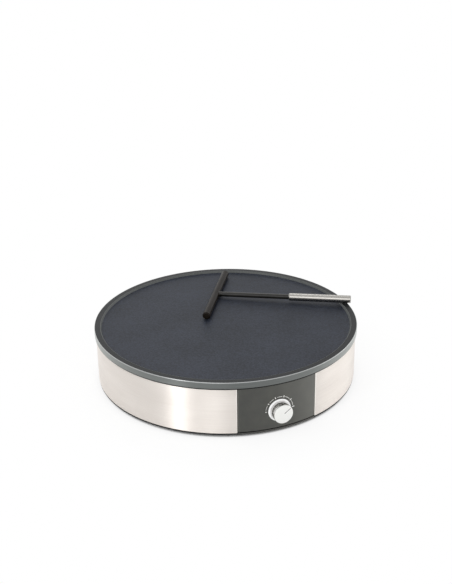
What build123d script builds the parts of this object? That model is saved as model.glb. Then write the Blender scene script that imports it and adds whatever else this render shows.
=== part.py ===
from build123d import *
import os
from math import cos, degrees, radians, sin

# Electric crepe maker with its batter spreader, in millimetres.
# +Z is up, the table is at Z 0, the drum's axis is Z and the control panel faces -Y.

os.makedirs("parts", exist_ok=True)

# ---------------------------------------------------------------- driving dimensions
plate_radius = 200.0  # cast cooking plate, over its rim
drum_radius = 198.0  # steel band and control panel, outside
total_height = 88.5  # table to the rim's top
foot_height = 4.3  # table to the base pan's underside
base_lip_height = 3.2  # lip of the base pan that shows under the band
plate_edge_height = 10.4
rim_height = 4.0  # rim above the cooking surface
plate_thickness = 5.0
panel_half_angle = 17.4  # control panel, each side of the front
knob_height = 36.2  # knob axis above the table
knob_reach = 13.8  # knob face in front of the panel
knob_radius = 14.1
knob_rest_angle = 36.0  # the pointer as it stands: 180 is the scale's start, 0 its end
spreader_length = 216.0  # head axis to the handle's end
spreader_head_length = 170.0

front = -90.0  # polar angle of the front, -Y
rear = 90.0

# ---------------------------------------------------------------- heights
base_floor = 2.5
floor_z = foot_height + base_floor
band_bottom = foot_height + base_lip_height
surface_z = total_height - rim_height
edge_bottom = total_height - plate_edge_height
plate_bottom = surface_z - plate_thickness
flange_top = edge_bottom - 0.6  # an air gap keeps the hot plate off the ring
flange_bottom = flange_top - 1.2
band_top = flange_bottom
shelf_z = 66.0  # support ring's shelf
shelf_thickness = 2.4
skirt_bottom = 60.0
upstand_top = 22.0
shield_z = 64.0
shield_thickness = 0.8
shield_top = shield_z + shield_thickness
post_join_z = 36.0  # where the upper posts stand on the base pan's
counterbore_top = 22.0

# ---------------------------------------------------------------- radii
band_thickness = 0.8
band_inner = drum_radius - band_thickness
panel_thickness = 2.8
panel_inner = drum_radius - panel_thickness
panel_return = 191.4  # inner reach of the panel's turned-in sides
skirt_outer = band_inner - 0.2
recess_inner = 191.1  # support ring and base pan stop here behind the panel
recess_angle = 2 * panel_half_angle + 1.6
lip_radius = 197.6
rim_inner = 190.8
rim_foot = 188.5
shield_radius = 176.0

# ---------------------------------------------------------------- posts and screws
plate_posts = PolarLocations(127.0, 4, start_angle=45)
ring_posts = PolarLocations(185.0, 6)
foot_places = PolarLocations(166.0, 4, start_angle=45)
plate_screw_radius = 2.0
ring_screw_radius = 1.8
post_head_radius = 3.8
post_head_height = 2.6
small_screw_radius = 1.25
small_head_radius = 2.5
small_head_height = 1.6

# ---------------------------------------------------------------- knob, lamp ring and thermostat
# Planes through the knob's axis. In knob_plane an offset is a distance from the drum's axis, and in
# knob_section a point is (radius, distance from the drum's axis).
knob_plane = Plane(origin=(0, 0, knob_height), x_dir=(1, 0, 0), z_dir=(0, -1, 0))
knob_section = Plane(origin=(0, 0, knob_height), x_dir=(1, 0, 0), z_dir=(0, 0, -1))
knob_axis = Axis((0, 0, knob_height), (0, 1, 0))
knob_face = drum_radius + knob_reach
ring_seat = 195.2  # flat floor of the round recess in the panel
pad_back = 192.4
pad_radius = 22.5
light_inner = 14.6
light_outer = 16.9
light_front = 198.9
leg_inner = 15.0
leg_outer = 16.5
leg_angles = (90.0, 210.0, 330.0)
leg_width = 60.0
leg_back = 190.8
board_front = 188.8
board_back = 187.2
board_peg_y = 20.0
collar_front = 198.4
collar_bore = 4.0
bracket_face = 184.0
bracket_thickness = 1.2
bracket_back = bracket_face - bracket_thickness
bracket_screw_x = 24.0
thermostat_front = 177.0
thermostat_back = 160.0
thermostat_screw_x = 11.0
shaft_radius = 3.0
shaft_clearance = 0.05
shaft_end = 207.6
panel_screw_places = [(radius * cos(radians(angle)), radius * sin(radians(angle)))
                      for radius, angle in ((190.8, front - 12.5), (190.8, front + 12.5))]

# ---------------------------------------------------------------- heating element
heater_radius = 3.5
heater_z = plate_bottom - heater_radius
heater_outer = 158.0
heater_inner = 96.0
heater_start = -78.0
heater_sweep = 336.0
heater_end = heater_start + heater_sweep
heater_bend = 8.0
heater_straight = 4.0
heater_tail_bottom = 57.0
channel_half = 3.6
channel_wall = 2.4
channel_depth = 6.0

# ---------------------------------------------------------------- wiring
blade_width = 6.3
blade_thickness = 0.8
blade_length = 8.0
sleeve_reach = 7.0  # a connector's length each side of its blade's tip
lead_radius = 1.4
lane_spacing = 4.2
duct_half = 7.4
duct_wall = 1.4
duct_middle = 17.0
duct_length = 174.0
block_y = 147.0
block_depth = 14.0
block_width = 32.0
block_pitch = 9.0
block_bottom = 10.0
block_height = 12.0
gland_z = 20.0
gland_neck_radius = 7.0
gland_bore = 3.7
cord_channel = 3.8
clamp_y = 172.0
clamp_screw_x = 9.0


def polar(radius, angle, z=0.0):
    """The point at a radius and a polar angle in degrees."""
    return Vector(radius * cos(radians(angle)), radius * sin(radians(angle)), z)


def ring_sector(inner, outer, middle_angle, width_angle):
    """The flat piece of a ring between two radial lines."""
    start = middle_angle - width_angle / 2
    with BuildSketch(mode=Mode.PRIVATE) as sector:
        with BuildLine():
            far = CenterArc((0, 0), outer, start, width_angle)
            near = CenterArc((0, 0), inner, start, width_angle)
            Line(far @ 0, near @ 0)
            Line(far @ 1, near @ 1)
        make_face()
    return sector.sketch


def screw(shank_radius, length, head_radius, head_height):
    """A pan-head screw that points up, with the underside of its head at the origin."""
    with BuildPart(mode=Mode.PRIVATE) as fastener:
        with BuildSketch():
            Circle(shank_radius)
        extrude(amount=length)
        with BuildSketch():
            Circle(head_radius)
        extrude(amount=-head_height)
        chamfer(fastener.edges().group_by(Axis.Z)[0], length=head_height / 3)
    return fastener.part


def sleeve(blade_tip, direction, width_direction):
    """A push-on connector over the end of a flat blade, closed at the blade's tip."""
    tip_plane = Plane(origin=blade_tip, x_dir=width_direction, z_dir=direction)
    with BuildPart(mode=Mode.PRIVATE) as connector:
        with BuildSketch(tip_plane.offset(-sleeve_reach)):
            RectangleRounded(blade_width + 1.8, blade_thickness + 2.0, 0.8)
        extrude(amount=2 * sleeve_reach)
        with BuildSketch(tip_plane.offset(-sleeve_reach)):
            Rectangle(blade_width + 0.2, blade_thickness + 0.2)
        extrude(amount=sleeve_reach, mode=Mode.SUBTRACT)
    return connector.part


def blade(root, direction, width_direction):
    """A flat terminal blade that stands out from its root."""
    with BuildPart(mode=Mode.PRIVATE) as tab:
        with BuildSketch(Plane(origin=root, x_dir=width_direction, z_dir=direction)):
            Rectangle(blade_width, blade_thickness)
        extrude(amount=blade_length)
    return tab.part


def tube(points, radius, bend):
    """A round lead or tube through the points: straight runs joined by tangent arcs."""
    with BuildPart() as run:
        with BuildLine() as route:
            FilletPolyline(*points, radius=bend)
        with BuildSketch(Plane(origin=route.line @ 0, z_dir=route.line % 0)):
            Circle(radius)
        sweep()
    return run


def d_profile(radius):
    """A round shaft's outline with one flat, for the knob's hub."""
    with BuildSketch(mode=Mode.PRIVATE) as outline:
        Circle(radius)
        with Locations((0, -radius - 1.0)):
            Rectangle(2 * radius, 3.2, mode=Mode.SUBTRACT)
    return outline.sketch


# ================================================================ hot plate
def heater_loops():
    """Centre line of the two loops: out from the front, back beside the start, and round again."""
    turn_radius = (heater_outer - heater_inner) / 2
    turn_centre = polar((heater_outer + heater_inner) / 2, heater_end)
    with BuildLine(Plane.XY.offset(heater_z), mode=Mode.PRIVATE) as loops:
        CenterArc((0, 0), heater_outer, heater_start, heater_sweep)
        CenterArc((turn_centre.X, turn_centre.Y), turn_radius, heater_end, 180)
        CenterArc((0, 0), heater_inner, heater_end, -heater_sweep)
    return loops.line


def heater_tail(radius):
    """Loop end, corner and foot of the tail that turns down towards its terminal."""
    loop_end = polar(radius, heater_start, heater_z)
    corner = loop_end + polar(heater_straight + heater_bend, heater_start - 90)
    foot = Vector(corner.X, corner.Y, heater_tail_bottom)
    return loop_end, corner, foot


outer_end, outer_corner, outer_foot = heater_tail(heater_outer)
inner_end, inner_corner, inner_foot = heater_tail(heater_inner)
heater_start_plane = Plane(origin=outer_end, x_dir=polar(1, heater_start), z_dir=polar(1, heater_start - 90))

cutout_centre = polar(118.0, -78.0)
cutout_screw_offset = 11.5
cutout_blade_offset = 5.0
bulb_radius = 3.0
bulb_length = 50.0
bulb_angle = -61.5
bulb_z = plate_bottom - bulb_radius
bulb_centre = polar(127.0, bulb_angle, bulb_z)
bulb_direction = polar(1, bulb_angle + 90)
bulb_across = polar(1, bulb_angle)
clip_thickness = 0.8
clip_screw_offset = 7.0
small_screw_places = [
    cutout_centre + Vector(0, cutout_screw_offset),
    cutout_centre - Vector(0, cutout_screw_offset),
    Vector(bulb_centre.X, bulb_centre.Y) + bulb_across * clip_screw_offset,
    Vector(bulb_centre.X, bulb_centre.Y) - bulb_across * clip_screw_offset,
]
small_screw_depth = 3.2
earth_boss = Vector(0, 20)
earth_boss_radius = 4.5
earth_boss_bottom = 70.0

with BuildPart() as cooking_plate:
    with BuildSketch(Plane.XZ) as plate_section:
        with BuildLine():
            Polyline(
                (0, plate_bottom),
                (0, surface_z),
                (rim_foot, surface_z),
                (rim_inner, total_height),
                (plate_radius, total_height),
                (plate_radius, edge_bottom),
                (plate_radius - 6, edge_bottom),
                (plate_radius - 6, plate_bottom),
                close=True,
            )
        make_face()
        fillet([v for v in plate_section.vertices() if abs(v.X - rim_foot) < 0.1], radius=3.0)
        fillet(plate_section.vertices().group_by(Axis.X)[-1], radius=0.9)
        fillet([v for v in plate_section.vertices() if abs(v.X - rim_inner) < 0.1], radius=0.8)
    revolve(axis=Axis.Z)
    # two walls that hold the heating element against the plate
    with BuildSketch(heater_start_plane):
        with Locations((0, heater_radius - channel_depth / 2 + 0.1)):
            Rectangle(2 * (channel_half + channel_wall), channel_depth + 0.2)
            Rectangle(2 * channel_half, channel_depth + 0.2, mode=Mode.SUBTRACT)
    sweep(path=heater_loops())
    # bosses for the four long screws, one for the earth tag, and the rib that centres the plate
    with BuildSketch(Plane.XY.offset(shield_top)):
        with plate_posts:
            Circle(6.0)
    extrude(amount=plate_bottom - shield_top + 0.2)
    with BuildSketch(Plane.XY.offset(earth_boss_bottom)):
        with Locations(earth_boss):
            Circle(earth_boss_radius)
    extrude(amount=plate_bottom - earth_boss_bottom + 0.2)
    with BuildSketch(Plane.XY.offset(plate_bottom - 4.0)):
        Circle(188.6)
        Circle(186.6, mode=Mode.SUBTRACT)
    extrude(amount=4.2)
    # threaded holes
    with BuildSketch(Plane.XY.offset(shield_top)):
        with plate_posts:
            Circle(plate_screw_radius)
    extrude(amount=12.0, mode=Mode.SUBTRACT)
    with BuildSketch(Plane.XY.offset(plate_bottom)):
        with Locations(*small_screw_places):
            Circle(small_screw_radius)
    extrude(amount=small_screw_depth, mode=Mode.SUBTRACT)
    with BuildSketch(Plane.XY.offset(earth_boss_bottom)):
        with Locations(earth_boss):
            Circle(small_screw_radius)
    extrude(amount=8.0, mode=Mode.SUBTRACT)

with BuildPart() as heating_element:
    with BuildLine() as heater_line:
        FilletPolyline(outer_foot, outer_corner, outer_end, radius=heater_bend)
        add(heater_loops())
        FilletPolyline(inner_end, inner_corner, inner_foot, radius=heater_bend)
    with BuildSketch(Plane(origin=outer_foot, z_dir=(0, 0, 1))):
        Circle(heater_radius)
    sweep()

heater_pin = 3.0
with BuildPart() as heater_terminals:
    for foot in (outer_foot, inner_foot):
        with BuildSketch(Plane(origin=foot)):
            Circle(2.6)
        extrude(amount=-heater_pin)
        add(blade(foot - Vector(0, 0, heater_pin), (0, 0, -1), (1, 0, 0)))

with BuildPart() as heat_shield:
    with BuildSketch(Plane.XZ):
        with BuildLine():
            Polyline(
                (34, shield_z),
                (shield_radius + shield_thickness, shield_z),
                (shield_radius + shield_thickness, shield_z + 8),
                (shield_radius, shield_z + 8),
                (shield_radius, shield_top),
                (34, shield_top),
                close=True,
            )
        make_face()
    revolve(axis=Axis.Z)
    # screw holes, and a window at the front for the tails and the sensor tube
    with BuildSketch(Plane.XY.offset(shield_z - 1)):
        with plate_posts:
            Circle(plate_screw_radius + 0.3)
        with Locations((18, -124)):
            RectangleRounded(70, 84, 8)
    extrude(amount=4, mode=Mode.SUBTRACT)

with BuildPart() as plate_spacers:
    with BuildSketch(Plane.XY.offset(post_join_z)):
        with plate_posts:
            Circle(5.0)
            Circle(plate_screw_radius + 0.3, mode=Mode.SUBTRACT)
    extrude(amount=shield_z - post_join_z)

plate_screw = screw(plate_screw_radius, 74.8 - counterbore_top, post_head_radius, post_head_height)
with BuildPart() as plate_screws:
    with BuildPart(Plane.XY.offset(counterbore_top), mode=Mode.PRIVATE) as plate_screw_set:
        with plate_posts:
            add(plate_screw)
    add(plate_screw_set.part)

with BuildPart() as sensor_bulb:
    with BuildSketch(Plane(origin=bulb_centre - bulb_direction * (bulb_length / 2), z_dir=bulb_direction)):
        Circle(bulb_radius)
    extrude(amount=bulb_length)
    chamfer(sensor_bulb.edges().filter_by(GeomType.CIRCLE), length=0.8)

with BuildPart() as bulb_clip:
    with BuildSketch(Plane(origin=bulb_centre + bulb_direction * 4, x_dir=bulb_across, z_dir=-bulb_direction)):
        Circle(bulb_radius + clip_thickness)
        with Locations((0, bulb_radius / 2)):
            Rectangle(2 * (bulb_radius + clip_thickness), bulb_radius)
        with Locations((0, bulb_radius + 3)):
            Rectangle(12, 6, mode=Mode.SUBTRACT)
        Circle(bulb_radius, mode=Mode.SUBTRACT)
        with Locations((0, bulb_radius / 2)):
            Rectangle(2 * bulb_radius, bulb_radius, mode=Mode.SUBTRACT)
        for side in (-1, 1):
            with Locations((side * (bulb_radius + clip_thickness + 3.3), bulb_radius - clip_thickness / 2)):
                Rectangle(7.0, clip_thickness)
    extrude(amount=8)
    with BuildSketch(Plane.XY.offset(plate_bottom)):
        with Locations(*small_screw_places[2:]):
            Circle(small_screw_radius)
    extrude(amount=-2, mode=Mode.SUBTRACT)

cutout_flange = 0.8
cutout_cap_bottom = plate_bottom - 4.0
cutout_bottom = plate_bottom - 11.0
with BuildPart() as thermal_cutout:
    with BuildSketch(Plane.XY.offset(plate_bottom)):
        with Locations(cutout_centre):
            SlotCenterToCenter(2 * cutout_screw_offset, 7, rotation=90)
            Circle(8.0)
        with Locations(*small_screw_places[:2]):
            Circle(small_screw_radius, mode=Mode.SUBTRACT)
    extrude(amount=-cutout_flange)
    with BuildSketch(Plane.XY.offset(plate_bottom - cutout_flange)):
        with Locations(cutout_centre):
            Circle(8.0)
    extrude(amount=-(plate_bottom - cutout_flange - cutout_cap_bottom))
    with BuildSketch(Plane.XY.offset(cutout_cap_bottom)):
        with Locations(cutout_centre):
            Circle(7.2)
    extrude(amount=-(cutout_cap_bottom - cutout_bottom))
    for side in (-1, 1):
        root = Vector(cutout_centre.X + side * cutout_blade_offset, cutout_centre.Y, cutout_bottom)
        add(blade(root, (0, 0, -1), (0, 1, 0)))

small_head_depth = cutout_flange
with BuildPart() as sensor_screws:
    for place in small_screw_places:
        head_plane = Plane(origin=Vector(place.X, place.Y, plate_bottom - small_head_depth))
        fastener = screw(small_screw_radius, small_head_depth + small_screw_depth, small_head_radius,
                         small_head_height)
        add(head_plane.location * fastener)

earth_bend_y = 30.0
earth_tab_bottom = 58.0
with BuildPart() as earth_tag:
    with BuildSketch(Plane.XY.offset(earth_boss_bottom)):
        with Locations(earth_boss):
            Circle(earth_boss_radius)
        with Locations(((0, (earth_boss.Y + earth_bend_y + blade_thickness) / 2))):
            Rectangle(blade_width, earth_bend_y + blade_thickness - earth_boss.Y)
        with Locations(earth_boss):
            Circle(small_screw_radius, mode=Mode.SUBTRACT)
    extrude(amount=-blade_thickness)
    with BuildSketch(Plane.XY.offset(earth_boss_bottom - blade_thickness)):
        with Locations((0, earth_bend_y + blade_thickness / 2)):
            Rectangle(blade_width, blade_thickness)
    extrude(amount=-(earth_boss_bottom - blade_thickness - earth_tab_bottom))

with BuildPart() as earth_screw:
    head_plane = Plane(origin=Vector(earth_boss.X, earth_boss.Y, earth_boss_bottom - blade_thickness))
    add(head_plane.location * screw(small_screw_radius, 7.0, small_head_radius, small_head_height))

# ================================================================ drum
with BuildPart() as support_ring:
    with BuildSketch(Plane.XZ):
        with BuildLine():
            Polyline(
                (179.0, shelf_z),
                (179.0, shelf_z + 8),
                (181.0, shelf_z + 8),
                (181.0, shelf_z + shelf_thickness),
                (189.0, shelf_z + shelf_thickness),
                (189.0, flange_top),
                (lip_radius, flange_top),
                (lip_radius, flange_bottom),
                (skirt_outer, flange_bottom),
                (skirt_outer, skirt_bottom),
                (skirt_outer - 2.4, skirt_bottom),
                (skirt_outer - 2.4, flange_top - 2.4),
                (recess_inner, flange_top - 2.4),
                (recess_inner, shelf_z),
                close=True,
            )
        make_face()
    revolve(axis=Axis.Z)
    # the panel's recess, under the flange
    with BuildSketch(Plane.XY.offset(skirt_bottom - 1)):
        add(ring_sector(recess_inner, drum_radius + 1, front, recess_angle))
    extrude(amount=flange_bottom - skirt_bottom + 1, mode=Mode.SUBTRACT)
    # posts that stand on the base pan
    with BuildSketch(Plane.XY.offset(post_join_z)):
        with ring_posts:
            Circle(6.0)
    extrude(amount=shelf_z + 1 - post_join_z)
    with BuildSketch(Plane.XY.offset(post_join_z)):
        with ring_posts:
            Circle(ring_screw_radius)
    extrude(amount=22.0, mode=Mode.SUBTRACT)

with BuildPart() as steel_band:
    band_edge = degrees(band_thickness / drum_radius)
    with BuildSketch(Plane.XY.offset(band_bottom)):
        add(ring_sector(band_inner, drum_radius, rear, 360 - 2 * panel_half_angle))
        # turned-in ends, either side of the panel
        for side in (-1, 1):
            add(ring_sector(recess_inner + 0.3, drum_radius, front + side * (panel_half_angle + band_edge / 2),
                            band_edge))
    extrude(amount=band_top - band_bottom)
    turned_edges = [
        edge
        for edge in steel_band.edges().filter_by(Axis.Z)
        if edge.center().Y < 0 and Vector(edge.center().X, edge.center().Y).length > drum_radius - 0.1
    ]
    fillet(turned_edges, radius=1.2)
    with BuildSketch(Plane(origin=(0, drum_radius + 5, gland_z), x_dir=(-1, 0, 0), z_dir=(0, 1, 0))):
        Circle(gland_neck_radius + 0.1)
    extrude(amount=-20, mode=Mode.SUBTRACT)

panel_bottom = band_bottom + 1.4  # a fine gap shows between the panel and the lip
with BuildPart() as control_panel:
    with BuildSketch(Plane.XY.offset(panel_bottom)):
        add(ring_sector(panel_inner, drum_radius, front, 2 * panel_half_angle - 0.4))
        for side in (-1, 1):
            add(ring_sector(panel_return, panel_inner + 0.4, front + side * (panel_half_angle - 0.7), 1.0))
    extrude(amount=band_top - panel_bottom)
    # stiffening ribs across the back
    for rib_z in (9.2, 58.4, 67.0):
        with BuildSketch(Plane.XY.offset(rib_z)):
            add(ring_sector(panel_return, panel_inner + 0.4, front, 2 * panel_half_angle - 1.0))
        extrude(amount=1.8)
    # flat pad behind the knob, with a round recess in front of it
    with BuildSketch(knob_plane.offset(pad_back)):
        Circle(pad_radius)
    extrude(amount=ring_seat - pad_back + 0.4)
    with BuildSketch(knob_plane.offset(ring_seat)):
        Circle(light_outer + 0.1)
    extrude(amount=8, mode=Mode.SUBTRACT)
    # slots for the light ring's legs, and the hole for the collar's neck
    with BuildSketch(knob_plane.offset(pad_back - 1)):
        Circle(5.6)
        for angle in leg_angles:
            add(ring_sector(leg_inner - 0.2, leg_outer + 0.2, angle, leg_width + 3))
    extrude(amount=6, mode=Mode.SUBTRACT)
    # bosses for the thermostat bracket
    with BuildSketch(knob_plane.offset(bracket_face)):
        with Locations((-bracket_screw_x, 0), (bracket_screw_x, 0)):
            Circle(3.4)
    extrude(amount=194.4 - bracket_face)
    # pegs through the light board, with staked heads
    with BuildSketch(knob_plane.offset(board_back)):
        with Locations((0, board_peg_y), (0, -board_peg_y)):
            Circle(1.2)
    extrude(amount=pad_back + 1 - board_back)
    with BuildSketch(knob_plane.offset(board_back)):
        with Locations((0, board_peg_y), (0, -board_peg_y)):
            Circle(2.0)
    extrude(amount=-0.9)
    with BuildSketch(knob_plane.offset(board_front)):
        with Locations((0, board_peg_y), (0, -board_peg_y)):
            Circle(2.2)
    extrude(amount=pad_back + 1 - board_front)
    with BuildSketch(knob_plane.offset(bracket_face)):
        with Locations((-bracket_screw_x, 0), (bracket_screw_x, 0)):
            Circle(small_screw_radius)
    extrude(amount=7, mode=Mode.SUBTRACT)
    # feet for the two screws that come up through the base pan
    with BuildSketch(Plane.XY.offset(floor_z)):
        with Locations(*panel_screw_places):
            Circle(3.8)
    extrude(amount=16.0)
    with BuildSketch(Plane.XY.offset(floor_z)):
        with Locations(*panel_screw_places):
            Circle(small_screw_radius)
    extrude(amount=11.0, mode=Mode.SUBTRACT)

rib_angles = [22.5 + 45 * k for k in range(8)]
vent_rings = ((88.0, 20), (56.0, 12))  # circle radius and number of slots
foot_stem = 2.5
with BuildPart() as base_pan:
    with BuildSketch(Plane.XZ) as base_section:
        with BuildLine():
            Polyline(
                (0, foot_height),
                (lip_radius, foot_height),
                (lip_radius, band_bottom),
                (195.0, band_bottom),
                (195.0, upstand_top),
                (193.0, upstand_top),
                (193.0, floor_z),
                (0, floor_z),
                close=True,
            )
        make_face()
        fillet(base_section.vertices().group_by(Axis.X)[-1].sort_by(Axis.Y)[0], radius=1.2)
    revolve(axis=Axis.Z)
    # the upstand stops behind the panel and beside the cord gland
    with BuildSketch(Plane.XY.offset(floor_z)):
        add(ring_sector(187.0, 195.0, front, recess_angle))
    extrude(amount=upstand_top, mode=Mode.SUBTRACT)
    with BuildSketch(Plane.XY.offset(band_bottom)):
        with Locations((0, 194)):
            Rectangle(24, 8)
    extrude(amount=upstand_top, mode=Mode.SUBTRACT)
    # posts for the plate spacers and for the support ring
    with BuildSketch(Plane.XY.offset(floor_z - 0.5)):
        with plate_posts:
            Circle(7.5)
        with ring_posts:
            Circle(7.0)
    extrude(amount=post_join_z - floor_z + 0.5)
    # stiffening ribs: one ring with a gap front and rear for the leads, and eight spokes
    with BuildSketch(Plane.XY.offset(floor_z - 0.5)):
        Circle(121.0)
        Circle(119.0, mode=Mode.SUBTRACT)
        Rectangle(20, 260, mode=Mode.SUBTRACT)
        for angle in rib_angles:
            add(Location(polar(156.5, angle), (0, 0, angle)) * Rectangle(74, 1.8, mode=Mode.PRIVATE))
    extrude(amount=7.0)
    # duct that keeps the leads together across the floor
    with BuildSketch(Plane.XY.offset(floor_z - 0.5)):
        with Locations((-duct_half, duct_middle), (duct_half, duct_middle)):
            Rectangle(duct_wall, duct_length)
    extrude(amount=5.5)
    # pad under the terminal block, and the lower half of the cord clamp
    with BuildSketch(Plane.XY.offset(floor_z - 0.5)):
        with Locations((0, block_y)):
            Rectangle(24, 10)
    extrude(amount=block_bottom - floor_z + 0.5)
    with BuildSketch(Plane.XY.offset(floor_z - 0.5)):
        with Locations((0, clamp_y)):
            Rectangle(2 * clamp_screw_x, 8)
        with Locations((-clamp_screw_x, clamp_y), (clamp_screw_x, clamp_y)):
            Circle(4.0)
    extrude(amount=gland_z - floor_z + 0.5)
    with BuildSketch(Plane(origin=(0, clamp_y - 6, gland_z), x_dir=(-1, 0, 0), z_dir=(0, 1, 0))):
        Circle(cord_channel)
    extrude(amount=12, mode=Mode.SUBTRACT)
    with BuildSketch(Plane.XY.offset(gland_z)):
        with Locations((-clamp_screw_x, clamp_y), (clamp_screw_x, clamp_y)):
            Circle(small_screw_radius)
    extrude(amount=-9, mode=Mode.SUBTRACT)
    with BuildSketch(Plane.XY.offset(block_bottom)):
        with Locations((-block_pitch / 2, block_y), (block_pitch / 2, block_y)):
            Circle(small_screw_radius)
    extrude(amount=-4, mode=Mode.SUBTRACT)
    # clearance holes in the posts, with deep counterbores for the screw heads
    with BuildSketch(Plane.XY.offset(foot_height - 1)):
        with plate_posts:
            Circle(plate_screw_radius + 0.3)
        with ring_posts:
            Circle(ring_screw_radius + 0.3)
    extrude(amount=post_join_z, mode=Mode.SUBTRACT)
    with BuildSketch(Plane.XY.offset(foot_height - 1)):
        with plate_posts:
            Circle(post_head_radius + 0.4)
        with ring_posts:
            Circle(post_head_radius + 0.4)
    extrude(amount=counterbore_top - foot_height + 1, mode=Mode.SUBTRACT)
    # panel screw holes, countersunk
    with BuildSketch(Plane.XY.offset(foot_height)):
        with Locations(*panel_screw_places):
            Circle(2.9)
    extrude(amount=1.6, taper=45, mode=Mode.SUBTRACT)
    with BuildSketch(Plane.XY.offset(foot_height)):
        with Locations(*panel_screw_places):
            Circle(small_screw_radius + 0.1)
    extrude(amount=base_floor, mode=Mode.SUBTRACT)
    # cooling slots in two rings
    with BuildSketch(Plane.XY.offset(foot_height - 1)):
        for circle_radius, count in vent_rings:
            for k in range(count):
                angle = 360 / count * (k + 0.5)
                add(Location(polar(circle_radius, angle), (0, 0, angle))
                    * SlotOverall(24, 4.0, mode=Mode.PRIVATE))
    extrude(amount=base_floor + 2, mode=Mode.SUBTRACT)
    # seats and stem holes for the rubber feet
    with BuildSketch(Plane.XY.offset(foot_height)):
        with foot_places:
            Circle(10.1)
    extrude(amount=1.0, mode=Mode.SUBTRACT)
    with BuildSketch(Plane.XY.offset(foot_height)):
        with foot_places:
            Circle(foot_stem)
    extrude(amount=base_floor, mode=Mode.SUBTRACT)

with BuildPart(mode=Mode.PRIVATE) as one_foot:
    with BuildSketch(Plane.XZ) as foot_section:
        with BuildLine():
            Polyline(
                (0, 0),
                (9.2, 0),
                (10.0, 1.0),
                (10.0, foot_height + 1.0),
                (foot_stem, foot_height + 1.0),
                (foot_stem, floor_z),
                (foot_stem + 1.3, floor_z),
                (foot_stem - 0.9, floor_z + 3.5),
                (0, floor_z + 3.5),
                close=True,
            )
        make_face()
    revolve(axis=Axis.Z)

with BuildPart() as rubber_feet:
    with foot_places:
        add(one_foot.part)

ring_screw = screw(ring_screw_radius, 55.0 - counterbore_top, post_head_radius, post_head_height)
with BuildPart() as ring_screws:
    for place in ring_posts:
        add(Location((0, 0, counterbore_top)) * place * ring_screw)

with BuildPart() as panel_screws:
    with BuildSketch(Plane.XY.offset(foot_height)):
        with Locations(*panel_screw_places):
            Circle(2.8)
    extrude(amount=1.55, taper=45)
    with BuildSketch(Plane.XY.offset(foot_height)):
        with Locations(*panel_screw_places):
            Circle(small_screw_radius)
    extrude(amount=12.0)

# ================================================================ control panel and knob
with BuildPart() as light_ring:
    with BuildSketch(knob_section) as light_section:
        with Locations(((light_inner + light_outer) / 2, (ring_seat + light_front) / 2)):
            Rectangle(light_outer - light_inner, light_front - ring_seat)
        fillet(light_section.vertices().group_by(Axis.Y)[0], radius=0.5)
    revolve(axis=knob_axis)
    with BuildSketch(knob_plane.offset(leg_back)):
        for angle in leg_angles:
            add(ring_sector(leg_inner, leg_outer, angle, leg_width))
    extrude(amount=ring_seat - leg_back + 0.2)

with BuildPart() as knob_collar:
    with BuildSketch(knob_section):
        with BuildLine():
            Polyline(
                (collar_bore, pad_back - 1),
                (5.5, pad_back - 1),
                (5.5, ring_seat),
                (light_inner - 0.1, ring_seat),
                (light_inner - 0.1, collar_front),
                (collar_bore, collar_front),
                close=True,
            )
        make_face()
    revolve(axis=knob_axis)

with BuildPart() as light_board:
    with BuildSketch(knob_plane.offset(board_back)):
        RectangleRounded(36, 46, 4)
        Circle(8.0, mode=Mode.SUBTRACT)
        with Locations((0, board_peg_y), (0, -board_peg_y)):
            Circle(1.2, mode=Mode.SUBTRACT)
    extrude(amount=board_front - board_back)

lamp_circle = (leg_inner + leg_outer) / 2
with BuildPart() as board_lamps:
    with BuildSketch(knob_plane.offset(board_front)):
        for angle in leg_angles:
            add(Location(polar(lamp_circle, angle), (0, 0, angle)) * Rectangle(2.0, 3.5, mode=Mode.PRIVATE))
    extrude(amount=leg_back - board_front)

with BuildPart() as thermostat_body:
    with BuildSketch(knob_plane.offset(thermostat_back)):
        RectangleRounded(34, 26, 3)
    extrude(amount=thermostat_front - thermostat_back)
    with BuildSketch(knob_plane.offset(thermostat_front)):
        Circle(5.0)
        with Locations((-thermostat_screw_x, 0), (thermostat_screw_x, 0)):
            Circle(3.2)
    extrude(amount=bracket_back - thermostat_front)
    with BuildSketch(knob_plane.offset(thermostat_back + 2)):
        Circle(shaft_radius + shaft_clearance)
    extrude(amount=40, mode=Mode.SUBTRACT)
    with BuildSketch(knob_plane.offset(bracket_back)):
        with Locations((-thermostat_screw_x, 0), (thermostat_screw_x, 0)):
            Circle(small_screw_radius)
    extrude(amount=-8, mode=Mode.SUBTRACT)

thermostat_blade_x = 8.0
with BuildPart() as thermostat_terminals:
    for side in (-1, 1):
        add(blade(Vector(side * thermostat_blade_x, -thermostat_back, knob_height), (0, 1, 0), (0, 0, 1)))

with BuildPart() as thermostat_bracket:
    with BuildSketch(knob_plane.offset(bracket_back)):
        RectangleRounded(58, 20, 4)
        Circle(shaft_radius + 0.6, mode=Mode.SUBTRACT)
        with Locations((-thermostat_screw_x, 0), (thermostat_screw_x, 0),
                       (-bracket_screw_x, 0), (bracket_screw_x, 0)):
            Circle(small_screw_radius, mode=Mode.SUBTRACT)
    extrude(amount=bracket_thickness)

small_screw = screw(small_screw_radius, 6.0, small_head_radius, small_head_height)
with BuildPart() as thermostat_screws:
    for side in (-1, 1):
        # two hold the thermostat to its bracket, and two the bracket to the panel
        inward = Plane(origin=(side * thermostat_screw_x, -bracket_face, knob_height), z_dir=(0, 1, 0))
        outward = Plane(origin=(side * bracket_screw_x, -bracket_back, knob_height), z_dir=(0, -1, 0))
        add(inward.location * small_screw)
        add(outward.location * small_screw)

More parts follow.
